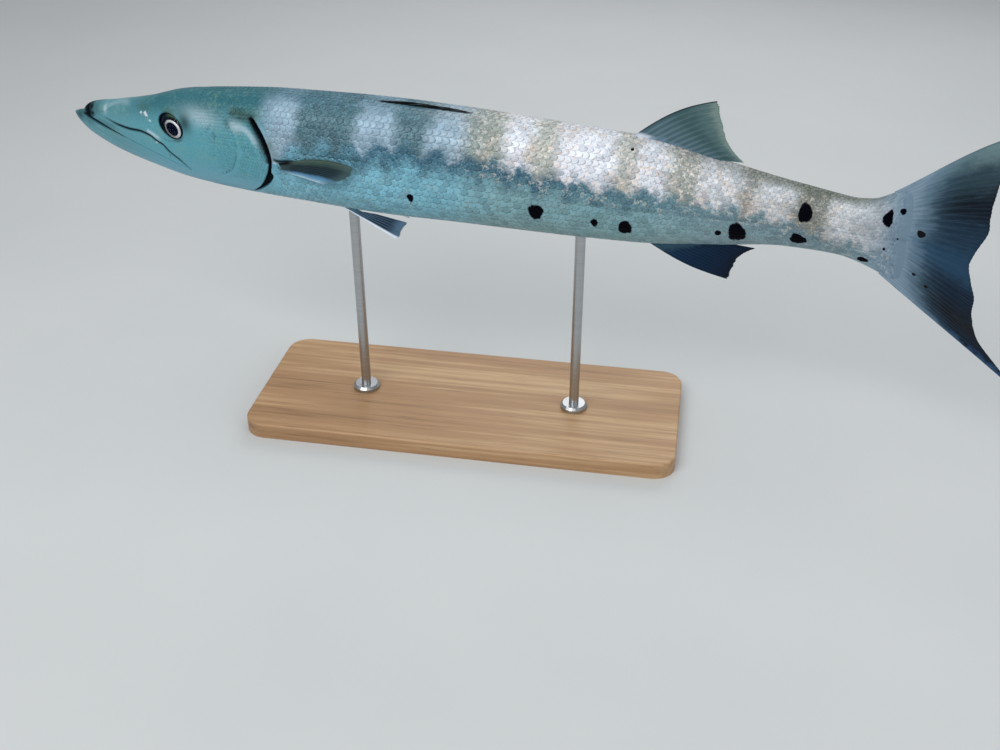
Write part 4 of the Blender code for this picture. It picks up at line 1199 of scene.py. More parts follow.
def pelvic_sheet(side):
    """The pelvic fin hangs outwards and back from the belly."""
    def sheet(share, row):
        root = between(*PELVIC_ROOT, share)
        tip = between(*PELVIC_TIPS, share)
        at = root + (tip - root) * row[..., None]
        y = PELVIC_SPREAD[0] + (PELVIC_SPREAD[1] - PELVIC_SPREAD[0]) * row
        square = station(BOTTOM_SQUARE, at[..., 0])
        inside = np.maximum(1.0 - (y / station(HALF_WIDTH, at[..., 0])) ** square, 0.0)
        belly = station(BOTTOM, at[..., 0]) * inside ** (1.0 / square)
        z = np.minimum(at[..., 1], belly + 0.001 - 0.003 * rise(row, 0.0, 0.2))
        return np.stack([at[..., 0], side * y, z], axis=-1) * BODY_LENGTH

    return sheet


def caudal_sheet(share, row):
    """The tail fin's sheet with its share from 0 at the lower edge to 1 at the upper."""
    return tail_sheet(2.0 * share - 1.0, row)


# Five spines of the first dorsal fin, folded one behind the other
SPINE_STARTS = (0.4035, 0.4190, 0.4350, 0.4510, 0.4670)
SPINE_ENDS = (0.4620, 0.4740, 0.4860, 0.4970, 0.5060)
SPINE_RADIUS = 0.80          # mm
SPINE_LIFT = 2.1             # mm above the back where a spine lies highest
SPINE_SUNK = 1.4             # mm under the back where a spine starts
SPINE_SIDES, SPINE_STEPS = 10, 26
FOLD_START, FOLD_END = 0.402, 0.507


def folded_spine(number, t, angle):
    """Points of one of the folded spines, as rings along it."""
    start, end = SPINE_STARTS[number], SPINE_ENDS[number]
    place = start + (end - start) * t
    raised = (SPINE_LIFT + SPINE_SUNK - 0.22 * number) * np.sin(math.pi * np.minimum(t * 0.62 + 0.02, 0.5))
    lift = raised - SPINE_SUNK - 0.9 * rise(t, 0.6, 1.0)
    radius = SPINE_RADIUS * (1.0 - 0.75 * t**1.3)
    y = 0.35 * (1 if number % 2 else -1) + 0.9 * radius * np.cos(angle)
    z = station(TOP, place) * BODY_LENGTH + (lift + radius * np.sin(angle)) * MM
    return np.stack([place * BODY_LENGTH, y * MM, z], axis=-1)


def make_folded_dorsal(material):
    """The first dorsal fin: five spines laid back in its groove, over a folded membrane."""
    t, angle = lattice(np.linspace(0.0, 1.0, SPINE_STEPS), turns(SPINE_SIDES))
    numbers = np.arange(t.size).reshape(t.shape)
    points, faces, fin = [], [], []
    for number in range(len(SPINE_STARTS)):
        points.append(folded_spine(number, t, angle).reshape(-1, 3))
        faces += [f[:, ::-1] for f in tube_faces(numbers + number * t.size)]
        fin.append(np.stack([np.full(t.shape, number / 4), t, np.ones(t.shape)], axis=-1).reshape(-1, 3))

    place, around = lattice(np.linspace(FOLD_START, FOLD_END, 60), np.radians(np.linspace(0.0, 180.0, 9)))
    swell = np.sin(math.pi * np.clip((place - 0.400) / 0.109, 0.0, 1.0)) ** 0.6
    height = (1.3 + 0.2 * np.sin(place * 900.0)) * swell
    z = station(TOP, place) * BODY_LENGTH + (height * np.sin(around) - 1.7) * MM
    fold = np.stack([place * BODY_LENGTH, np.cos(around) * swell * MM, z], axis=-1).reshape(-1, 3)
    points.append(fold)
    faces += tube_faces(np.arange(place.size).reshape(place.shape) + len(SPINE_STARTS) * t.size)
    fin.append(np.zeros(fold.shape))
    return make_piece("fin_dorsal_first_folded", bent(np.concatenate(points)), faces, material,
                      {"fin": np.concatenate(fin)}, replaced=("fin_dorsal_first",))


# Eyes: radius and height of the lathe's profile in mm over the body's form
EYE_PROFILE = (
    (0.0, 0.95), (2.4, 0.90), (4.6, 0.70), (6.0, 0.40), (6.45, 0.12), (6.65, 0.50), (7.0, 0.68),
    (7.6, 0.66), (8.4, 0.42), (9.1, 0.05), (9.5, -0.30), (10.8, -0.80), (12.4, -1.35), (14.2, -2.1),
    (16.2, -3.2), (17.4, -4.8), (17.2, -7.5), (14.0, -11.0), (8.0, -13.8), (0.0, -14.6),
)
PUPIL, IRIS = 0.695, 0.95    # edges of pupil and silver ring in the eye's material, in cm
CORNEA_OUTER = ((0.0, 2.05), (3.0, 1.94), (6.0, 1.58), (9.0, 0.92), (11.5, 0.12), (13.6, -0.85))
CORNEA_THICKNESS = 0.45
IRIS_LONG = 1.13             # the iris is a little longer along its tilt
IRIS_TILT = math.radians(-32.0)
EYE_REAR = 0.0026            # how far behind the socket's middle the eyeball's lies, in m
EYE_SEGMENTS = 72


def eye_points(radius, height, angle, side):
    """Bent points of the eye for radii and heights in mm and angles around its axis."""
    u = radius * np.cos(angle) * IRIS_LONG
    v = radius * np.sin(angle) / IRIS_LONG
    forward = (u * math.cos(IRIS_TILT) - v * math.sin(IRIS_TILT)) * MM
    up = (u * math.sin(IRIS_TILT) + v * math.cos(IRIS_TILT)) * MM
    out = EYE_DEPTH - EYE_STANDS_OUT + height * MM
    x = forward * math.cos(EYE_YAW) - out * math.sin(EYE_YAW)
    out = forward * math.sin(EYE_YAW) + out * math.cos(EYE_YAW)
    z = up * math.cos(EYE_TILT) + out * math.sin(EYE_TILT)
    y = out * math.cos(EYE_TILT) - up * math.sin(EYE_TILT)
    surface = flank_width(EYE_PLACE, EYE_LEVEL) * BODY_LENGTH
    centre = (EYE_PLACE * BODY_LENGTH + EYE_REAR, side * (surface + EYE_STANDS_OUT - EYE_DEPTH),
              EYE_LEVEL * BODY_LENGTH)
    return bent(np.stack([centre[0] + x, centre[1] + side * y, centre[2] + z], axis=-1))


def lathe(name, profile, side, material, replaced=()):
    """A turned piece on the eye's axis, closed at both ends of its profile."""
    heights = np.array([p[1] for p in profile])
    radius, angle = lattice([p[0] for p in profile[1:-1]], turns(EYE_SEGMENTS))
    points = eye_points(radius, np.broadcast_to(heights[1:-1, None], radius.shape), angle, side)
    tips = [eye_points(np.zeros(()), heights[k], np.zeros(()), side) for k in (0, -1)]
    numbers = np.arange(radius.size).reshape(radius.shape)
    faces = [grid_faces(numbers, closed=True), fan(radius.size, numbers[0])[:, ::-1],
             fan(radius.size + 1, numbers[-1])]
    if side == RIGHT:
        faces = [f[:, ::-1] for f in faces]
    iris = np.stack([radius / 10.0, np.cos(angle), np.sin(angle)], axis=-1).reshape(-1, 3)
    return make_piece(name, np.concatenate([points.reshape(-1, 3), tips]), faces, material,
                      {"iris": np.concatenate([iris, np.zeros((2, 3))])}, replaced=replaced)


PROFILE_STEPS = 4            # points from one of a profile's points to the next, both included


def fine_profile(points):
    """A profile with rounder curves between its points."""
    points = np.array(points)
    run = runs_of(points)
    at = np.unique(np.concatenate([np.linspace(a, b, PROFILE_STEPS) for a, b in zip(run, run[1:])]))
    return list(zip(curve_through(run, points[:, 0], at), curve_through(run, points[:, 1], at)))


def make_eyes(eye, cornea):
    """Both eyes: an opaque eyeball with pupil and iris, under a clear cornea."""
    outer = fine_profile(CORNEA_OUTER)
    inner = [(r * 0.985, h - CORNEA_THICKNESS) for r, h in reversed(outer)]
    for name, side in (("left", LEFT), ("right", RIGHT)):
        lathe("eyeball_" + name, fine_profile(EYE_PROFILE), side, eye, replaced=("eye_" + name,))
        lathe("cornea_" + name, outer + inner, side, cornea)


# Materials


def paint(red, green, blue):
    """A shader colour from an 8-bit screen colour."""
    linear = []
    for value in (red, green, blue):
        value /= 255.0
        linear.append(value / 12.92 if value <= 0.04045 else ((value + 0.055) / 1.055) ** 2.4)
    return (*linear, 1.0)


def stops(*rows):
    """A ramp's stops, from rows of position, red, green and blue."""
    return [(position, paint(*colour)) for position, *colour in rows]


class Value:
    """What a node gives; its sums, differences and products are Math nodes."""

    def __init__(self, tree, socket):
        self.tree = tree
        self.socket = socket

    def __add__(self, other):
        return self.tree.math("ADD", self, other)

    def __sub__(self, other):
        return self.tree.math("SUBTRACT", self, other)

    def __rsub__(self, other):
        return self.tree.math("SUBTRACT", other, self)

    def __mul__(self, other):
        return self.tree.math("MULTIPLY", self, other)

    __radd__, __rmul__ = __add__, __mul__


class Tree:
    """A short way to write a material's nodes; the methods return Values."""

    def __init__(self, name):
        self.material = bpy.data.materials.new(name)
        self.material.use_nodes = True
        self.nodes = self.material.node_tree.nodes
        self.links = self.material.node_tree.links
        self.shader = self.nodes["Principled BSDF"]

    def feed(self, node, given, output=0):
        """Link or set a node's inputs, by number or name, and return one of its outputs."""
        for key, value in given.items():
            if isinstance(value, Value):
                self.links.new(value.socket, node.inputs[key])
            else:
                node.inputs[key].default_value = value
        return Value(self, node.outputs[output])

    def put(self, **values):
        """Set the shader's sockets; an underscore stands for a space."""
        self.feed(self.shader, {key.replace("_", " "): value for key, value in values.items()})

    def math(self, operation, a, b=0.0):
        """One Math node."""
        node = self.nodes.new("ShaderNodeMath")
        node.operation = operation
        return self.feed(node, {0: a, 1: b})

    def mix(self, share, a, b, blend="MIX"):
        """One Mix node for colours."""
        node = self.nodes.new("ShaderNodeMix")
        node.data_type = "RGBA"
        node.blend_type = blend
        return self.feed(node, {0: share, 6: a, 7: b}, 2)

    def step(self, value, start, end, low=0.0, high=1.0):
        """A smooth step of a value from low at start to high at end."""
        node = self.nodes.new("ShaderNodeMapRange")
        node.interpolation_type = "SMOOTHSTEP"
        if start > end:
            start, end, low, high = end, start, high, low
        return self.feed(node, {0: value, 1: start, 2: end, 3: low, 4: high})

    def ramp(self, value, colours, interpolation="EASE"):
        """A colour ramp; colours are stops of a position and a colour."""
        node = self.nodes.new("ShaderNodeValToRGB")
        node.color_ramp.interpolation = interpolation
        elements = node.color_ramp.elements
        while len(elements) < len(colours):
            elements.new(0.5)
        for element, (position, colour) in zip(elements, colours):
            element.position = position
            element.color = colour
        return self.feed(node, {0: value})

    def noise(self, vector, scale, detail=3.0, roughness=0.55, stretch=None):
        """Noise around 0, from -0.5 to 0.5."""
        if stretch:
            node = self.nodes.new("ShaderNodeVectorMath")
            node.operation = "MULTIPLY"
            vector = self.feed(node, {0: vector, 1: stretch})
        node = self.nodes.new("ShaderNodeTexNoise")
        given = {"Vector": vector, "Scale": scale, "Detail": detail, "Roughness": roughness}
        return self.feed(node, given) - 0.5

    def attribute(self, name):
        """A piece's own vector attribute."""
        node = self.nodes.new("ShaderNodeAttribute")
        node.attribute_name = name
        return self.feed(node, {}, "Vector")

    def parts(self, vector):
        """The three numbers of a vector."""
        node = self.nodes.new("ShaderNodeSeparateXYZ")
        self.feed(node, {0: vector})
        return [Value(self, socket) for socket in node.outputs]

    def place(self):
        """Coordinates of the piece itself."""
        return self.feed(self.nodes.new("ShaderNodeTexCoord"), {}, "Object")

    def bump(self, height, distance, strength):
        """Fine relief under the mesh's own; distance is in metres."""
        node = self.nodes.new("ShaderNodeBump")
        self.put(Normal=self.feed(node, {"Strength": strength, "Distance": distance, "Height": height}))


# Dark bars of the upper flank: where each starts and ends, and how strong it is.  A colour ramp holds
# 32 stops, which is four for each bar
BARS = ((0.312, 0.382, 1.0), (0.429, 0.468, 0.95), (0.508, 0.553, 0.85), (0.585, 0.614, 0.75),
        (0.680, 0.706, 0.70), (0.741, 0.775, 0.80), (0.824, 0.843, 0.70), (0.882, 0.924, 0.95))
BAR_EDGE = 0.007
PALE = {"front": paint(140, 168, 186), "middle": paint(226, 232, 243), "rear": paint(192, 198, 203)}
DARK = {"front": paint(58, 102, 114), "middle": paint(150, 156, 138), "rear": paint(112, 116, 106)}
TEAL = paint(12, 86, 110)
LOWER = {"front": paint(114, 180, 200), "middle": paint(118, 163, 170), "rear": paint(118, 146, 154)}
LOWER_WARM = paint(134, 150, 142)
BELLY = paint(146, 188, 198)
BACK = {"front": paint(24, 94, 112), "middle": paint(150, 158, 156), "rear": paint(86, 94, 80)}
HEAD_TOP = paint(36, 100, 110)
HEAD_SIDE = paint(84, 156, 170)
HEAD_LOW = paint(104, 168, 190)
HEAD_WARM = paint(118, 160, 150)
SNOUT = paint(88, 146, 158)
BLACK = paint(4, 4, 12)
BRIGHTER = (1.28, 1.28, 1.30, 1.0)
DULLER = (0.62, 0.65, 0.68, 1.0)
FLECK = paint(206, 198, 186)
SPECKLE = paint(250, 240, 234)
GLINT = paint(226, 236, 246)
OLIVE = paint(72, 90, 66)
WARM = paint(196, 164, 136)
WARM_SHADE = paint(156, 138, 120)
TAIL_ROOT = paint(128, 150, 168)
RAY_ROOT = paint(110, 134, 152)
# Painted shade for the dark streaks of a fin
PAINTED_HOLLOW_SHADE = paint(12, 20, 30)


def along_body(t, place, colours, first=(0.45, 0.575), second=(0.66, 0.86)):
    """Front, middle and rear colours blended along the body."""
    front = t.mix(t.step(place, *first), colours["front"], colours["middle"])
    return t.mix(t.step(place, *second), front, colours["rear"])


def barred_back(t, place, share, ragged, small, grain):
    """The pale upper flank with its dark bars, the speckles of its rear half and the darker back."""
    none = (0.0, 0.0, 0.0, 1.0)
    bar_stops = []
    for start, end, strength in BARS:
        full = (strength, strength, strength, 1.0)
        bar_stops += [(start - BAR_EDGE, none), (start + BAR_EDGE, full),
                      (end - BAR_EDGE, full), (end + BAR_EDGE, none)]
    bars = t.ramp(place + ragged * 0.034, bar_stops, "LINEAR")
    colour = t.mix(bars, along_body(t, place, PALE, (0.488, 0.575)), along_body(t, place, DARK))
    warm = t.step(ragged + small, -0.02, 0.20) * t.step(place, 0.47, 0.60)
    warm = warm * t.step(place, 0.94, 0.80, 0.5, 1.0)
    colour = t.mix(warm * 0.50, colour, WARM)
    dotted = small + grain * 0.35
    rear = t.step(place, 0.44, 0.58) * t.step(place, 0.78, 0.90, 1.0, 0.45)
    colour = t.mix(t.step(dotted, 0.01, 0.16, 0.0, 0.50) * rear, colour, SPECKLE)
    colour = t.mix(t.step(dotted, -0.03, -0.18, 0.0, 0.46) * rear, colour, WARM_SHADE)
    backs = t.step(share + ragged * 0.05, 0.80, 0.97) * t.step(place, 0.42, 0.54, 0.70, 0.20)
    colour = t.mix(backs, colour, along_body(t, place, BACK, (0.42, 0.54), (0.76, 0.86)))
    ridge = t.step(share, 0.80, 0.97, 0.0, 0.85) * t.step(place, 0.76, 0.86)
    return t.mix(ridge, colour, BACK["rear"])


def lower_flank(t, place, share, level, ragged, small):
    """The flank and belly under the bars, with the teal band along the border."""
    colour = along_body(t, place, LOWER)
    colour = t.mix(t.step(ragged + small, 0.0, 0.26, 0.0, 0.30), colour, LOWER_WARM)
    colour = t.mix(t.step(share, 0.20, 0.03) * 0.70, colour, BELLY)
    teal = t.step(level, -0.034, -0.006) * t.step(place, 0.88, 0.56, 0.20, 0.92)
    return t.mix(teal * t.step(place, 0.30, 0.42, 0.40, 1.0), colour, TEAL)


def head_colours(t, place, share, ragged, small):
    """The head without its lines and patches."""
    colour = t.mix(t.step(share + ragged * 0.10, 0.62, 0.84), HEAD_SIDE, HEAD_TOP)
    colour = t.mix(t.step(share, 0.42, 0.14), colour, HEAD_LOW)
    colour = t.mix(t.step(place, 0.13, 0.05) * 0.7, colour, SNOUT)
    return t.mix(t.step(small + ragged, -0.02, 0.28, 0.0, 0.32), colour, HEAD_WARM)


def markings(t, detail=None):
    """The fish's colours, for skin and scales alike, with the head's painted highlights and painted shade;
    detail changes them before the black marks and the painted shade.

    Returns the colour, how black it is, coarse and fine noise, and the place on the body.
    """
    body = t.attribute("body")
    place = t.parts(body)[0]
    share, border_height, blotch = t.parts(t.attribute("where"))
    shade, glint, olive = t.parts(t.attribute("paint"))
    ragged = t.noise(body, 42.0, 4.0, 0.6)
    small = t.noise(body, 190.0, 3.0, 0.6)
    grain = t.noise(body, 620.0, 2.0, 0.5)

    teeth = t.math("PINGPONG", place + ragged * 0.030, 0.017)
    level = border_height + ragged * 0.036 + small * 0.022 + (teeth - 0.0085) * 0.60
    flank = t.mix(t.step(level, -0.007, 0.009), lower_flank(t, place, share, level, ragged, small),
                  barred_back(t, place, share, ragged, small, grain))
    in_front = t.step(place + ragged * 0.020, 0.288, 0.256)
    colour = t.mix(in_front, flank, head_colours(t, place, share, ragged, small))
    calm = t.step(place, 0.24, 0.34, 0.35, 1.0)
    colour = t.mix(t.step(grain, -0.20, 0.24, 0.0, 0.26) * calm, colour, t.mix(0.5, colour, PALE["middle"]))
    colour = t.mix(t.step(grain, 0.10, -0.26, 0.0, 0.30) * calm, colour, t.mix(0.45, colour, BLACK))
    colour = t.mix(t.step(place, 0.945, 1.008), colour, TAIL_ROOT)
    streaks = t.noise(body, 1.0, 3.0, 0.6, (30.0, 200.0, 330.0))
    colour = t.mix(t.step(place + streaks * 0.030, 0.992, 1.018), colour, RAY_ROOT)
    # Painted highlights, then the olive tint, which over the gill cover stands in for painted shade
    colour = t.mix(glint, colour, GLINT)
    colour = t.mix(olive, colour, OLIVE)
    if detail:
        colour = detail(colour, place, level, small, grain)
    # Black from the shade channel, which holds painted shade in grooves, slits, folds and holes as well as
    # black markings, and from the black blotches
    ink = blotch + (small * 0.30 + grain * 0.10)
    black = t.math("MAXIMUM", shade * 0.985, t.step(ink, 0.45, 0.54))
    return t.mix(black, colour, BLACK), black, small, grain, body


def moist(t, colour, black, roughness, metallic, specular):
    """A satin surface; its reflections are held back where it is black and on the back."""
    share = t.parts(t.attribute("where"))[0]

    def held(level):
        return (1.0 - black * 0.92) * t.step(share, 0.62, 0.92, level, 0.35 * level)

    t.put(Base_Color=colour, Roughness=roughness, Metallic=held(metallic),
          Specular_IOR_Level=held(specular), Coat_Weight=held(0.03), Coat_Roughness=0.25)


def skin_material():
    """Moist satin skin."""
    t = Tree("barracuda_skin")
    colour, black, small, grain, body = markings(t)
    streaks = t.noise(body, 300.0, 3.0, 0.6, (0.22, 1.0, 1.0))
    moist(t, colour, black, 0.40 + small * 0.16, 0.10, 0.32)
    t.bump(grain * 0.5 + streaks * 0.4, 0.0004, 0.35)
    return t.material


def scale_material():
    """Thin silvery scales with the skin's markings, their own tints and fine growth rings."""
    t = Tree("barracuda_scales")
    tint, along, across = t.parts(t.attribute("scale"))
    on_trunk = t.step(t.parts(t.attribute("body"))[0], 0.25, 0.34, 0.45, 1.0)

    def detail(colour, place, level, small, grain):
        own = t.mix(t.step(tint, 0.45, 1.0, 0.0, 0.5) * on_trunk, colour, BRIGHTER, "MULTIPLY")
        own = t.mix(t.step(tint, 0.50, 0.0, 0.0, 0.5) * on_trunk, own, DULLER, "MULTIPLY")
        own = t.mix(t.step(along, 0.80, 0.99, 0.0, 0.20) * on_trunk, own, DULLER, "MULTIPLY")
        dots = t.step(small + grain * 0.5, -0.04, 0.12)
        under = t.step(level, -0.026, -0.010) * t.step(level, 0.003, -0.003)
        pale = under * dots * t.step(tint, 0.56, 0.68)
        own = t.mix(pale * t.step(place, 0.46, 0.55, 0.0, 0.50), own, FLECK)
        over = t.step(level, -0.003, 0.002) * t.step(level, 0.016, 0.006)
        return t.mix(over * dots * t.step(tint, 0.40, 0.26) * 0.50, own, TEAL)

    colour, black, small, grain, _ = markings(t, detail)
    sideways = across * 0.62
    rings = t.math("SINE", t.math("SQRT", along * along + sideways * sideways) * 70.0)
    t.bump(rings * 0.25 + grain, 0.00010, 0.5)
    moist(t, colour, black, 0.40 + small * 0.2, 0.16, 0.34)
    return t.material


def fin_material(name, base, ray, streak, tones=None, blotched=False, edge=None, corner=None):
    """A fin's membrane and rays.

    base holds a ramp's stops from root to edge, ray the rays' colour, strength and the rows between which
    they fade, and streak the strength of fine streaks: pale ones in the rays' colour and dark ones of
    painted shade.  tones holds two lists of stops: how strong the second one's colours are along the rows,
    and those colours across the fin.  edge colours the leading edge and corner the front of the root:
    colour, then how far it reaches.
    """
    t = Tree(name)
    share, row, ridge = t.parts(t.attribute("fin"))
    fine = t.noise(t.attribute("fin"), 1.0, 3.0, 0.6, (46.0, 4.0, 0.0))
    mottle = t.noise(t.place(), 90.0, 3.0, 0.6)
    streaked = row + fine * 0.30
    colour = t.ramp(streaked + mottle * 0.22, base)
    if tones:
        weight, colours = tones
        colour = t.mix(t.ramp(streaked, weight), colour, t.ramp(share + mottle * 0.10, colours))
    ray_colour, strength, fade = ray
    amount = t.step(ridge, 0.15, 0.95) * t.step(row, fade[0], fade[1], strength, 0.10)
    colour = t.mix(amount, colour, ray_colour)
    rooted = t.step(row, 0.04, 0.30, 0.2, 1.0)
    colour = t.mix(t.step(fine, 0.02, 0.30, 0.0, streak) * rooted, colour, ray_colour)
    # Dark streaks of painted shade
    colour = t.mix(t.step(fine, -0.30, -0.04, streak, 0.0) * rooted, colour, PAINTED_HOLLOW_SHADE)
    if edge:
        side_colour, start, end = edge
        colour = t.mix(t.step(share, start, end), colour, side_colour)
    if corner:
        corner_colour, share_reach, row_reach = corner
        near = t.step(share, share_reach, 0.4 * share_reach) * t.step(row, row_reach, 0.4 * row_reach)
        colour = t.mix(near, colour, corner_colour)
    if blotched:
        blotch = t.parts(t.attribute("where"))[2]
        colour = t.mix(t.step(blotch + mottle * 0.12, 0.46, 0.53), colour, BLACK)
    t.put(Base_Color=colour, Roughness=0.46 + fine * 0.2, Specular_IOR_Level=0.14)
    t.bump(fine + t.math("SINE", row * 240.0) * 0.2, 0.0003, 0.4)
    return t.material


def eye_material():
    """Blue-black pupil, silver iris and a dark outer ring with an olive roof."""
    t = Tree("eye_layers")
    radius, turn_cos, turn_sin = t.parts(t.attribute("iris"))
    flecks = t.noise(t.attribute("iris"), 3.0, 4.0, 0.65, (4.0, 3.0, 3.0))
    away = radius + flecks * 0.010
    silver = t.mix(t.step(flecks, -0.25, 0.28), paint(136, 150, 146), paint(222, 230, 240))
    rear = t.step(turn_sin * 0.85 + turn_cos * 0.30, -0.75, 0.45)
    silver = t.mix(rear, t.mix(0.55, silver, paint(96, 108, 84)), t.mix(0.70, silver, paint(250, 252, 255)))
    roof = t.step(turn_sin, 0.35, 0.85) * t.step(radius, 1.10, 1.35)
    outer = t.mix(t.step(radius, 1.05, 1.45), paint(5, 10, 20), paint(16, 34, 48))
    outer = t.mix(roof * 0.75, outer, paint(84, 112, 84))
    colour = t.mix(t.step(away, PUPIL - 0.008, PUPIL + 0.008), paint(0, 2, 32), silver)
    colour = t.mix(t.step(away, IRIS - 0.04, IRIS + 0.01), colour, outer)
    in_iris = t.step(radius, PUPIL - 0.01, PUPIL + 0.01) * t.step(radius, IRIS, IRIS - 0.04)
    t.put(Base_Color=colour, Roughness=0.32, Metallic=in_iris * 0.30, Specular_IOR_Level=0.06 + in_iris * 0.4)
    t.bump(flecks * in_iris, 0.0002, 0.4)
    return t.material


def cornea_material():
    """Clear cornea, as a thin dark film that shows only by its gloss."""
    t = Tree("cornea")
    haze = t.noise(t.place(), 160.0, 2.0)
    film = t.mix(t.step(haze, -0.3, 0.3), paint(6, 16, 26), paint(16, 30, 40))
    t.put(Base_Color=film, Roughness=0.06 + haze * 0.04, Alpha=0.10, Specular_IOR_Level=0.35)
    return t.material


def wood_material():
    """Pale oiled oak with its grain along the base."""
    t = Tree("stand_oak")
    spot = t.place()
    waves = t.noise(spot, 9.0, 3.0, 0.5, (0.35, 3.0, 3.0))
    grain = t.noise(spot, 60.0, 4.0, 0.65, (0.05, 2.6, 2.6))
    pores = t.noise(spot, 420.0, 2.0, 0.5, (0.05, 2.2, 2.2))
    colour = t.ramp(waves * 0.8 + grain * 0.9 + 0.5,
                    stops((0.15, 120, 86, 56), (0.45, 168, 130, 92), (0.75, 198, 164, 124)))
    colour = t.mix(t.step(pores, 0.10, 0.26, 0.0, 0.55), colour, paint(86, 60, 38))
    t.put(Base_Color=colour, Roughness=0.44 + grain * 0.25)
    t.bump(grain - pores, 0.0004, 0.35)
    return t.material


def steel_material():
    """Steel brushed around the rods."""
    t = Tree("stand_steel")
    brushed = t.noise(t.place(), 900.0, 3.0, 0.6, (0.05, 0.05, 1.6))
    soft = t.noise(t.place(), 40.0, 2.0)
    t.put(Base_Color=t.mix(0.5 + brushed, paint(150, 153, 156), paint(198, 200, 202)),
          Roughness=0.30 + soft * 0.12, Metallic=1.0)
    t.bump(brushed, 0.0001, 0.3)
    return t.material


def floor_material():
    """Plain pale floor with a faint mottle."""
    t = Tree("floor_pale")
    mottle = t.noise(t.place(), 3.0, 4.0)
    fine = t.noise(t.place(), 220.0, 2.0)
    t.put(Base_Color=t.mix(0.5 + mottle, paint(196, 199, 200), paint(206, 208, 208)),
          Roughness=0.72 + fine * 0.1)
    return t.material


def make_median_fins():
    """The second dorsal and the anal fin, one over the other."""
    dorsal = fin_material(
        "fin_dorsal_second",
        stops((0.0, 104, 130, 150), (0.14, 72, 100, 110), (0.55, 60, 88, 92), (0.80, 78, 104, 106),
              (1.0, 118, 138, 132)),
        (paint(136, 158, 168), 0.26, (0.16, 0.70)), 0.16, edge=(paint(16, 30, 42), 0.035, 0.0),
        # the pale front of the root is a painted highlight
        corner=(paint(206, 216, 230), 0.26, 0.10))
    rayed_fin("fin_dorsal_second_rayed",
              median_sheet((0.694, 0.789), ((0.785, 0.1150), (0.803, 0.0560)), TOP, 0.008),
              13, dorsal, "fin_dorsal_second", root=1.1, edge=0.40, ray_height=0.24)
    anal = fin_material(
        "fin_anal",
        stops((0.0, 92, 120, 130), (0.12, 58, 92, 110), (0.30, 6, 38, 66), (0.70, 0, 26, 52),
              (1.0, 2, 14, 30)),
        (paint(40, 76, 108), 0.22, (0.24, 0.8)), 0.14)
    rayed_fin("fin_anal_rayed",
              median_sheet((0.714, 0.800), ((0.818, -0.0965), (0.828, -0.0560)), BOTTOM, -0.007),
              13, anal, "fin_anal", root=1.1, edge=0.40, ray_height=0.24)


def make_tail_fin():
    """The tail fin: two dark lobes, a paler middle and a pale upper edge."""
    caudal = fin_material(
        "fin_caudal",
        [(0.0, TAIL_ROOT), (0.20, TAIL_ROOT)] + stops(
            (0.36, 104, 131, 150), (0.54, 60, 88, 108), (0.80, 18, 34, 50), (1.0, 12, 24, 36)),
        (paint(70, 96, 116), 0.20, (0.34, 1.0)), 0.16,
        tones=(
            stops((0.0, 0, 0, 0), (0.16, 0, 0, 0), (0.70, 250, 250, 250), (1.0, 250, 250, 250)),
            stops((0.0, 44, 72, 104), (0.03, 12, 24, 42), (0.16, 1, 5, 16), (0.34, 10, 28, 48),
                  (0.47, 34, 66, 92), (0.58, 24, 48, 68), (0.74, 4, 14, 26), (0.88, 38, 60, 70),
                  (1.0, 110, 136, 140))),
        blotched=True)
    rayed_fin("fin_caudal_rayed", caudal_sheet, 31, caudal, "fin_caudal", root=1.3, edge=0.38,
              ray_height=0.30, branch=0.30, rows=52, per_ray=7, ragged=0.004, blotched=True,
              ray_start=(0.20, 0.42))


def make_paired_fins():
    """The pectoral and pelvic fins of both sides."""
    pectoral = fin_material(
        "fin_pectoral",
        stops((0.0, 70, 92, 94), (0.30, 64, 86, 80), (0.62, 48, 76, 78), (1.0, 76, 104, 106)),
        (paint(104, 128, 130), 0.16, (0.35, 0.9)), 0.12,
        tones=(
            stops((0.0, 190, 190, 190), (0.25, 250, 250, 250), (0.80, 240, 240, 240),
                  (1.0, 170, 170, 170)),
            # across the fin from its upper edge; the pale stops at its lower edge are a painted highlight
            stops((0.0, 54, 70, 64), (0.07, 68, 86, 76), (0.22, 44, 64, 60), (0.32, 4, 24, 34),
                  (0.66, 2, 26, 42), (0.82, 88, 140, 178), (1.0, 170, 202, 220))),
        corner=(BLACK, 0.34, 0.26))
    pelvic = fin_material(
        "fin_pelvic",
        stops((0.0, 104, 144, 160), (0.22, 30, 52, 72), (0.70, 16, 36, 54), (1.0, 78, 106, 130)),
        (paint(112, 148, 176), 0.42, (0.45, 1.0)), 0.18, edge=(paint(222, 234, 248), 0.18, 0.08))
    for name, side in (("left", LEFT), ("right", RIGHT)):
        rayed_fin("fin_pectoral_%s_rayed" % name, pectoral_sheet(side), 14, pectoral, "fin_pectoral_" + name,
                  root=0.9, edge=0.38, ray_height=0.26, rows=32, ragged=0.016)
        rayed_fin("fin_pelvic_%s_rayed" % name, pelvic_sheet(side), 7, pelvic, "fin_pelvic_" + name,
                  root=1.0, edge=0.40, ray_height=0.30, rows=30, per_ray=10, ragged=0.02)


def make_fins():
    """All the fins, each with its own colours."""
    make_median_fins()
    make_tail_fin()
    make_paired_fins()
    make_folded_dorsal(fin_material(
        "fin_dorsal_first",
        stops((0.0, 2, 6, 12), (0.30, 8, 14, 18), (0.8, 26, 36, 34), (1.0, 76, 84, 60)),
        (paint(22, 30, 34), 0.25, (0.9, 1.0)), 0.05))


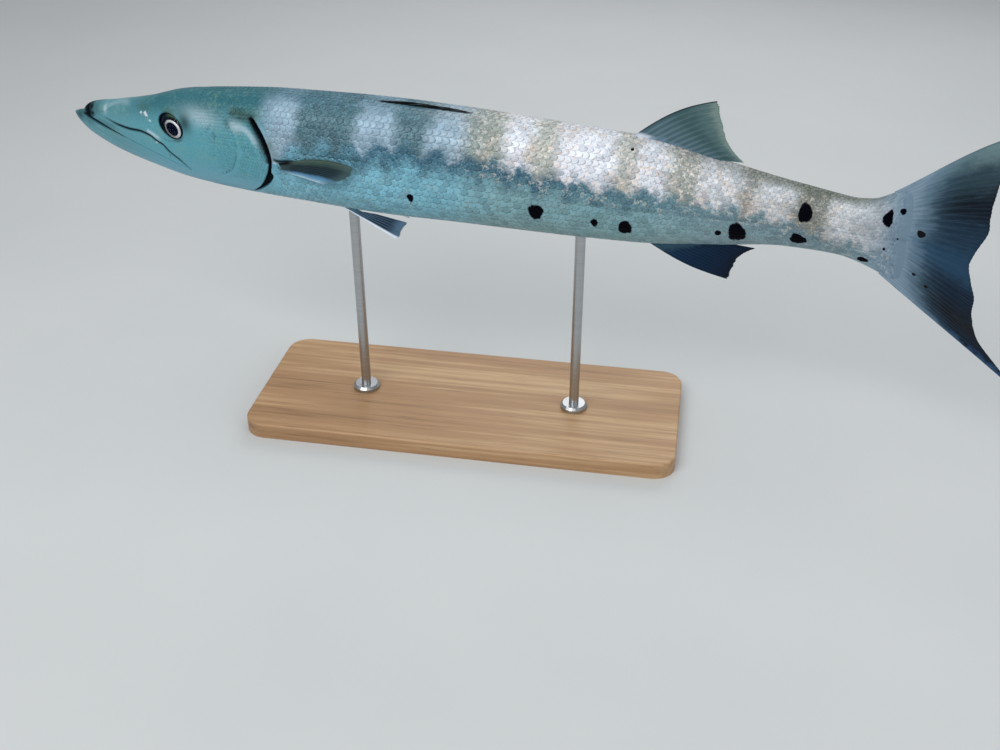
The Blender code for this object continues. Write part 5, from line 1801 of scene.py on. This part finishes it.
def make_all_scales(material):
    """Scale pieces by length of the body."""
    head, trunk = head_seeds(), trunk_seeds()
    make_scales("scales_head", head, np.ones(len(head.place), bool), material)
    cuts = (0.0, 0.46, 0.66, 0.84, 1.1)
    for name, start, end in zip(("front", "middle", "rear", "tail"), cuts, cuts[1:]):
        make_scales("scales_" + name, trunk, (trunk.place >= start) & (trunk.place < end), material)


def look_at(thing, target):
    """Turn a light towards a point."""
    thing.rotation_euler = (Vector(target) - thing.location).to_track_quat("-Z", "Y").to_euler()


def area_light(name, location, target, size, power, colour=(1.0, 1.0, 1.0)):
    """One soft rectangular light."""
    data = bpy.data.lights.new(name, "AREA")
    data.shape = "RECTANGLE"
    data.size, data.size_y = size
    data.energy = power
    data.color = colour
    lamp = bpy.data.objects.new(name, data)
    lamp.location = location
    bpy.context.scene.collection.objects.link(lamp)
    look_at(lamp, target)


CAMERA_LOCATION = (0.2271, -1.0798, 0.7494)
CAMERA_TURN = (math.radians(57.52), 0.0, math.radians(10.02))
CAMERA_LENS = 41.41
SENSOR_WIDTH = 36.0
FLOOR_SIZE = 9.0


def make_stage():
    """Floor, soft studio light and the photo's camera."""
    half = FLOOR_SIZE / 2
    mesh = bpy.data.meshes.new("floor")
    corners = [(-half, -half, 0), (half, -half, 0), (half, half, 0), (-half, half, 0)]
    mesh.from_pydata(corners, [], [(0, 1, 2, 3)])
    mesh.materials.append(floor_material())
    floor = bpy.data.objects.new("floor", mesh)
    bpy.context.scene.collection.objects.link(floor)

    area_light("key", (-0.7, -1.6, 1.9), (0.0, 0.0, 0.3), (1.6, 1.2), 31.0, (1.0, 0.99, 0.97))
    area_light("overhead", (0.1, 0.1, 2.0), (0.0, 0.0, 0.3), (2.2, 1.6), 10.0, (0.96, 0.99, 1.0))
    area_light("fill", (1.9, -1.2, 1.0), (0.1, 0.0, 0.3), (1.4, 1.2), 9.0, (0.95, 0.98, 1.0))
    area_light("rim", (0.3, 1.8, 1.3), (0.0, 0.0, 0.32), (2.0, 0.8), 10.0)
    world = bpy.data.worlds.new("studio")
    world.use_nodes = True
    world.node_tree.nodes["Background"].inputs["Color"].default_value = (0.92, 0.96, 1.0, 1.0)
    world.node_tree.nodes["Background"].inputs["Strength"].default_value = 0.40
    bpy.context.scene.world = world
    bpy.context.scene.view_settings.view_transform = "Standard"

    data = bpy.data.cameras.new("camera")
    data.sensor_width = SENSOR_WIDTH
    data.lens = CAMERA_LENS
    camera = bpy.data.objects.new("camera", data)
    camera.location = CAMERA_LOCATION
    camera.rotation_euler = CAMERA_TURN
    bpy.context.scene.collection.objects.link(camera)
    bpy.context.scene.camera = camera


def finish_stand():
    """Materials for the carried-over stand."""
    oak, steel = wood_material(), steel_material()
    for name, material in (("stand_base", oak), ("stand_rod_front", steel), ("stand_rod_rear", steel)):
        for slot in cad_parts[name].material_slots:
            slot.material = material


make_stage()
finish_stand()
make_skin(skin_material())
make_all_scales(scale_material())
make_fins()
make_eyes(eye_material(), cornea_material())
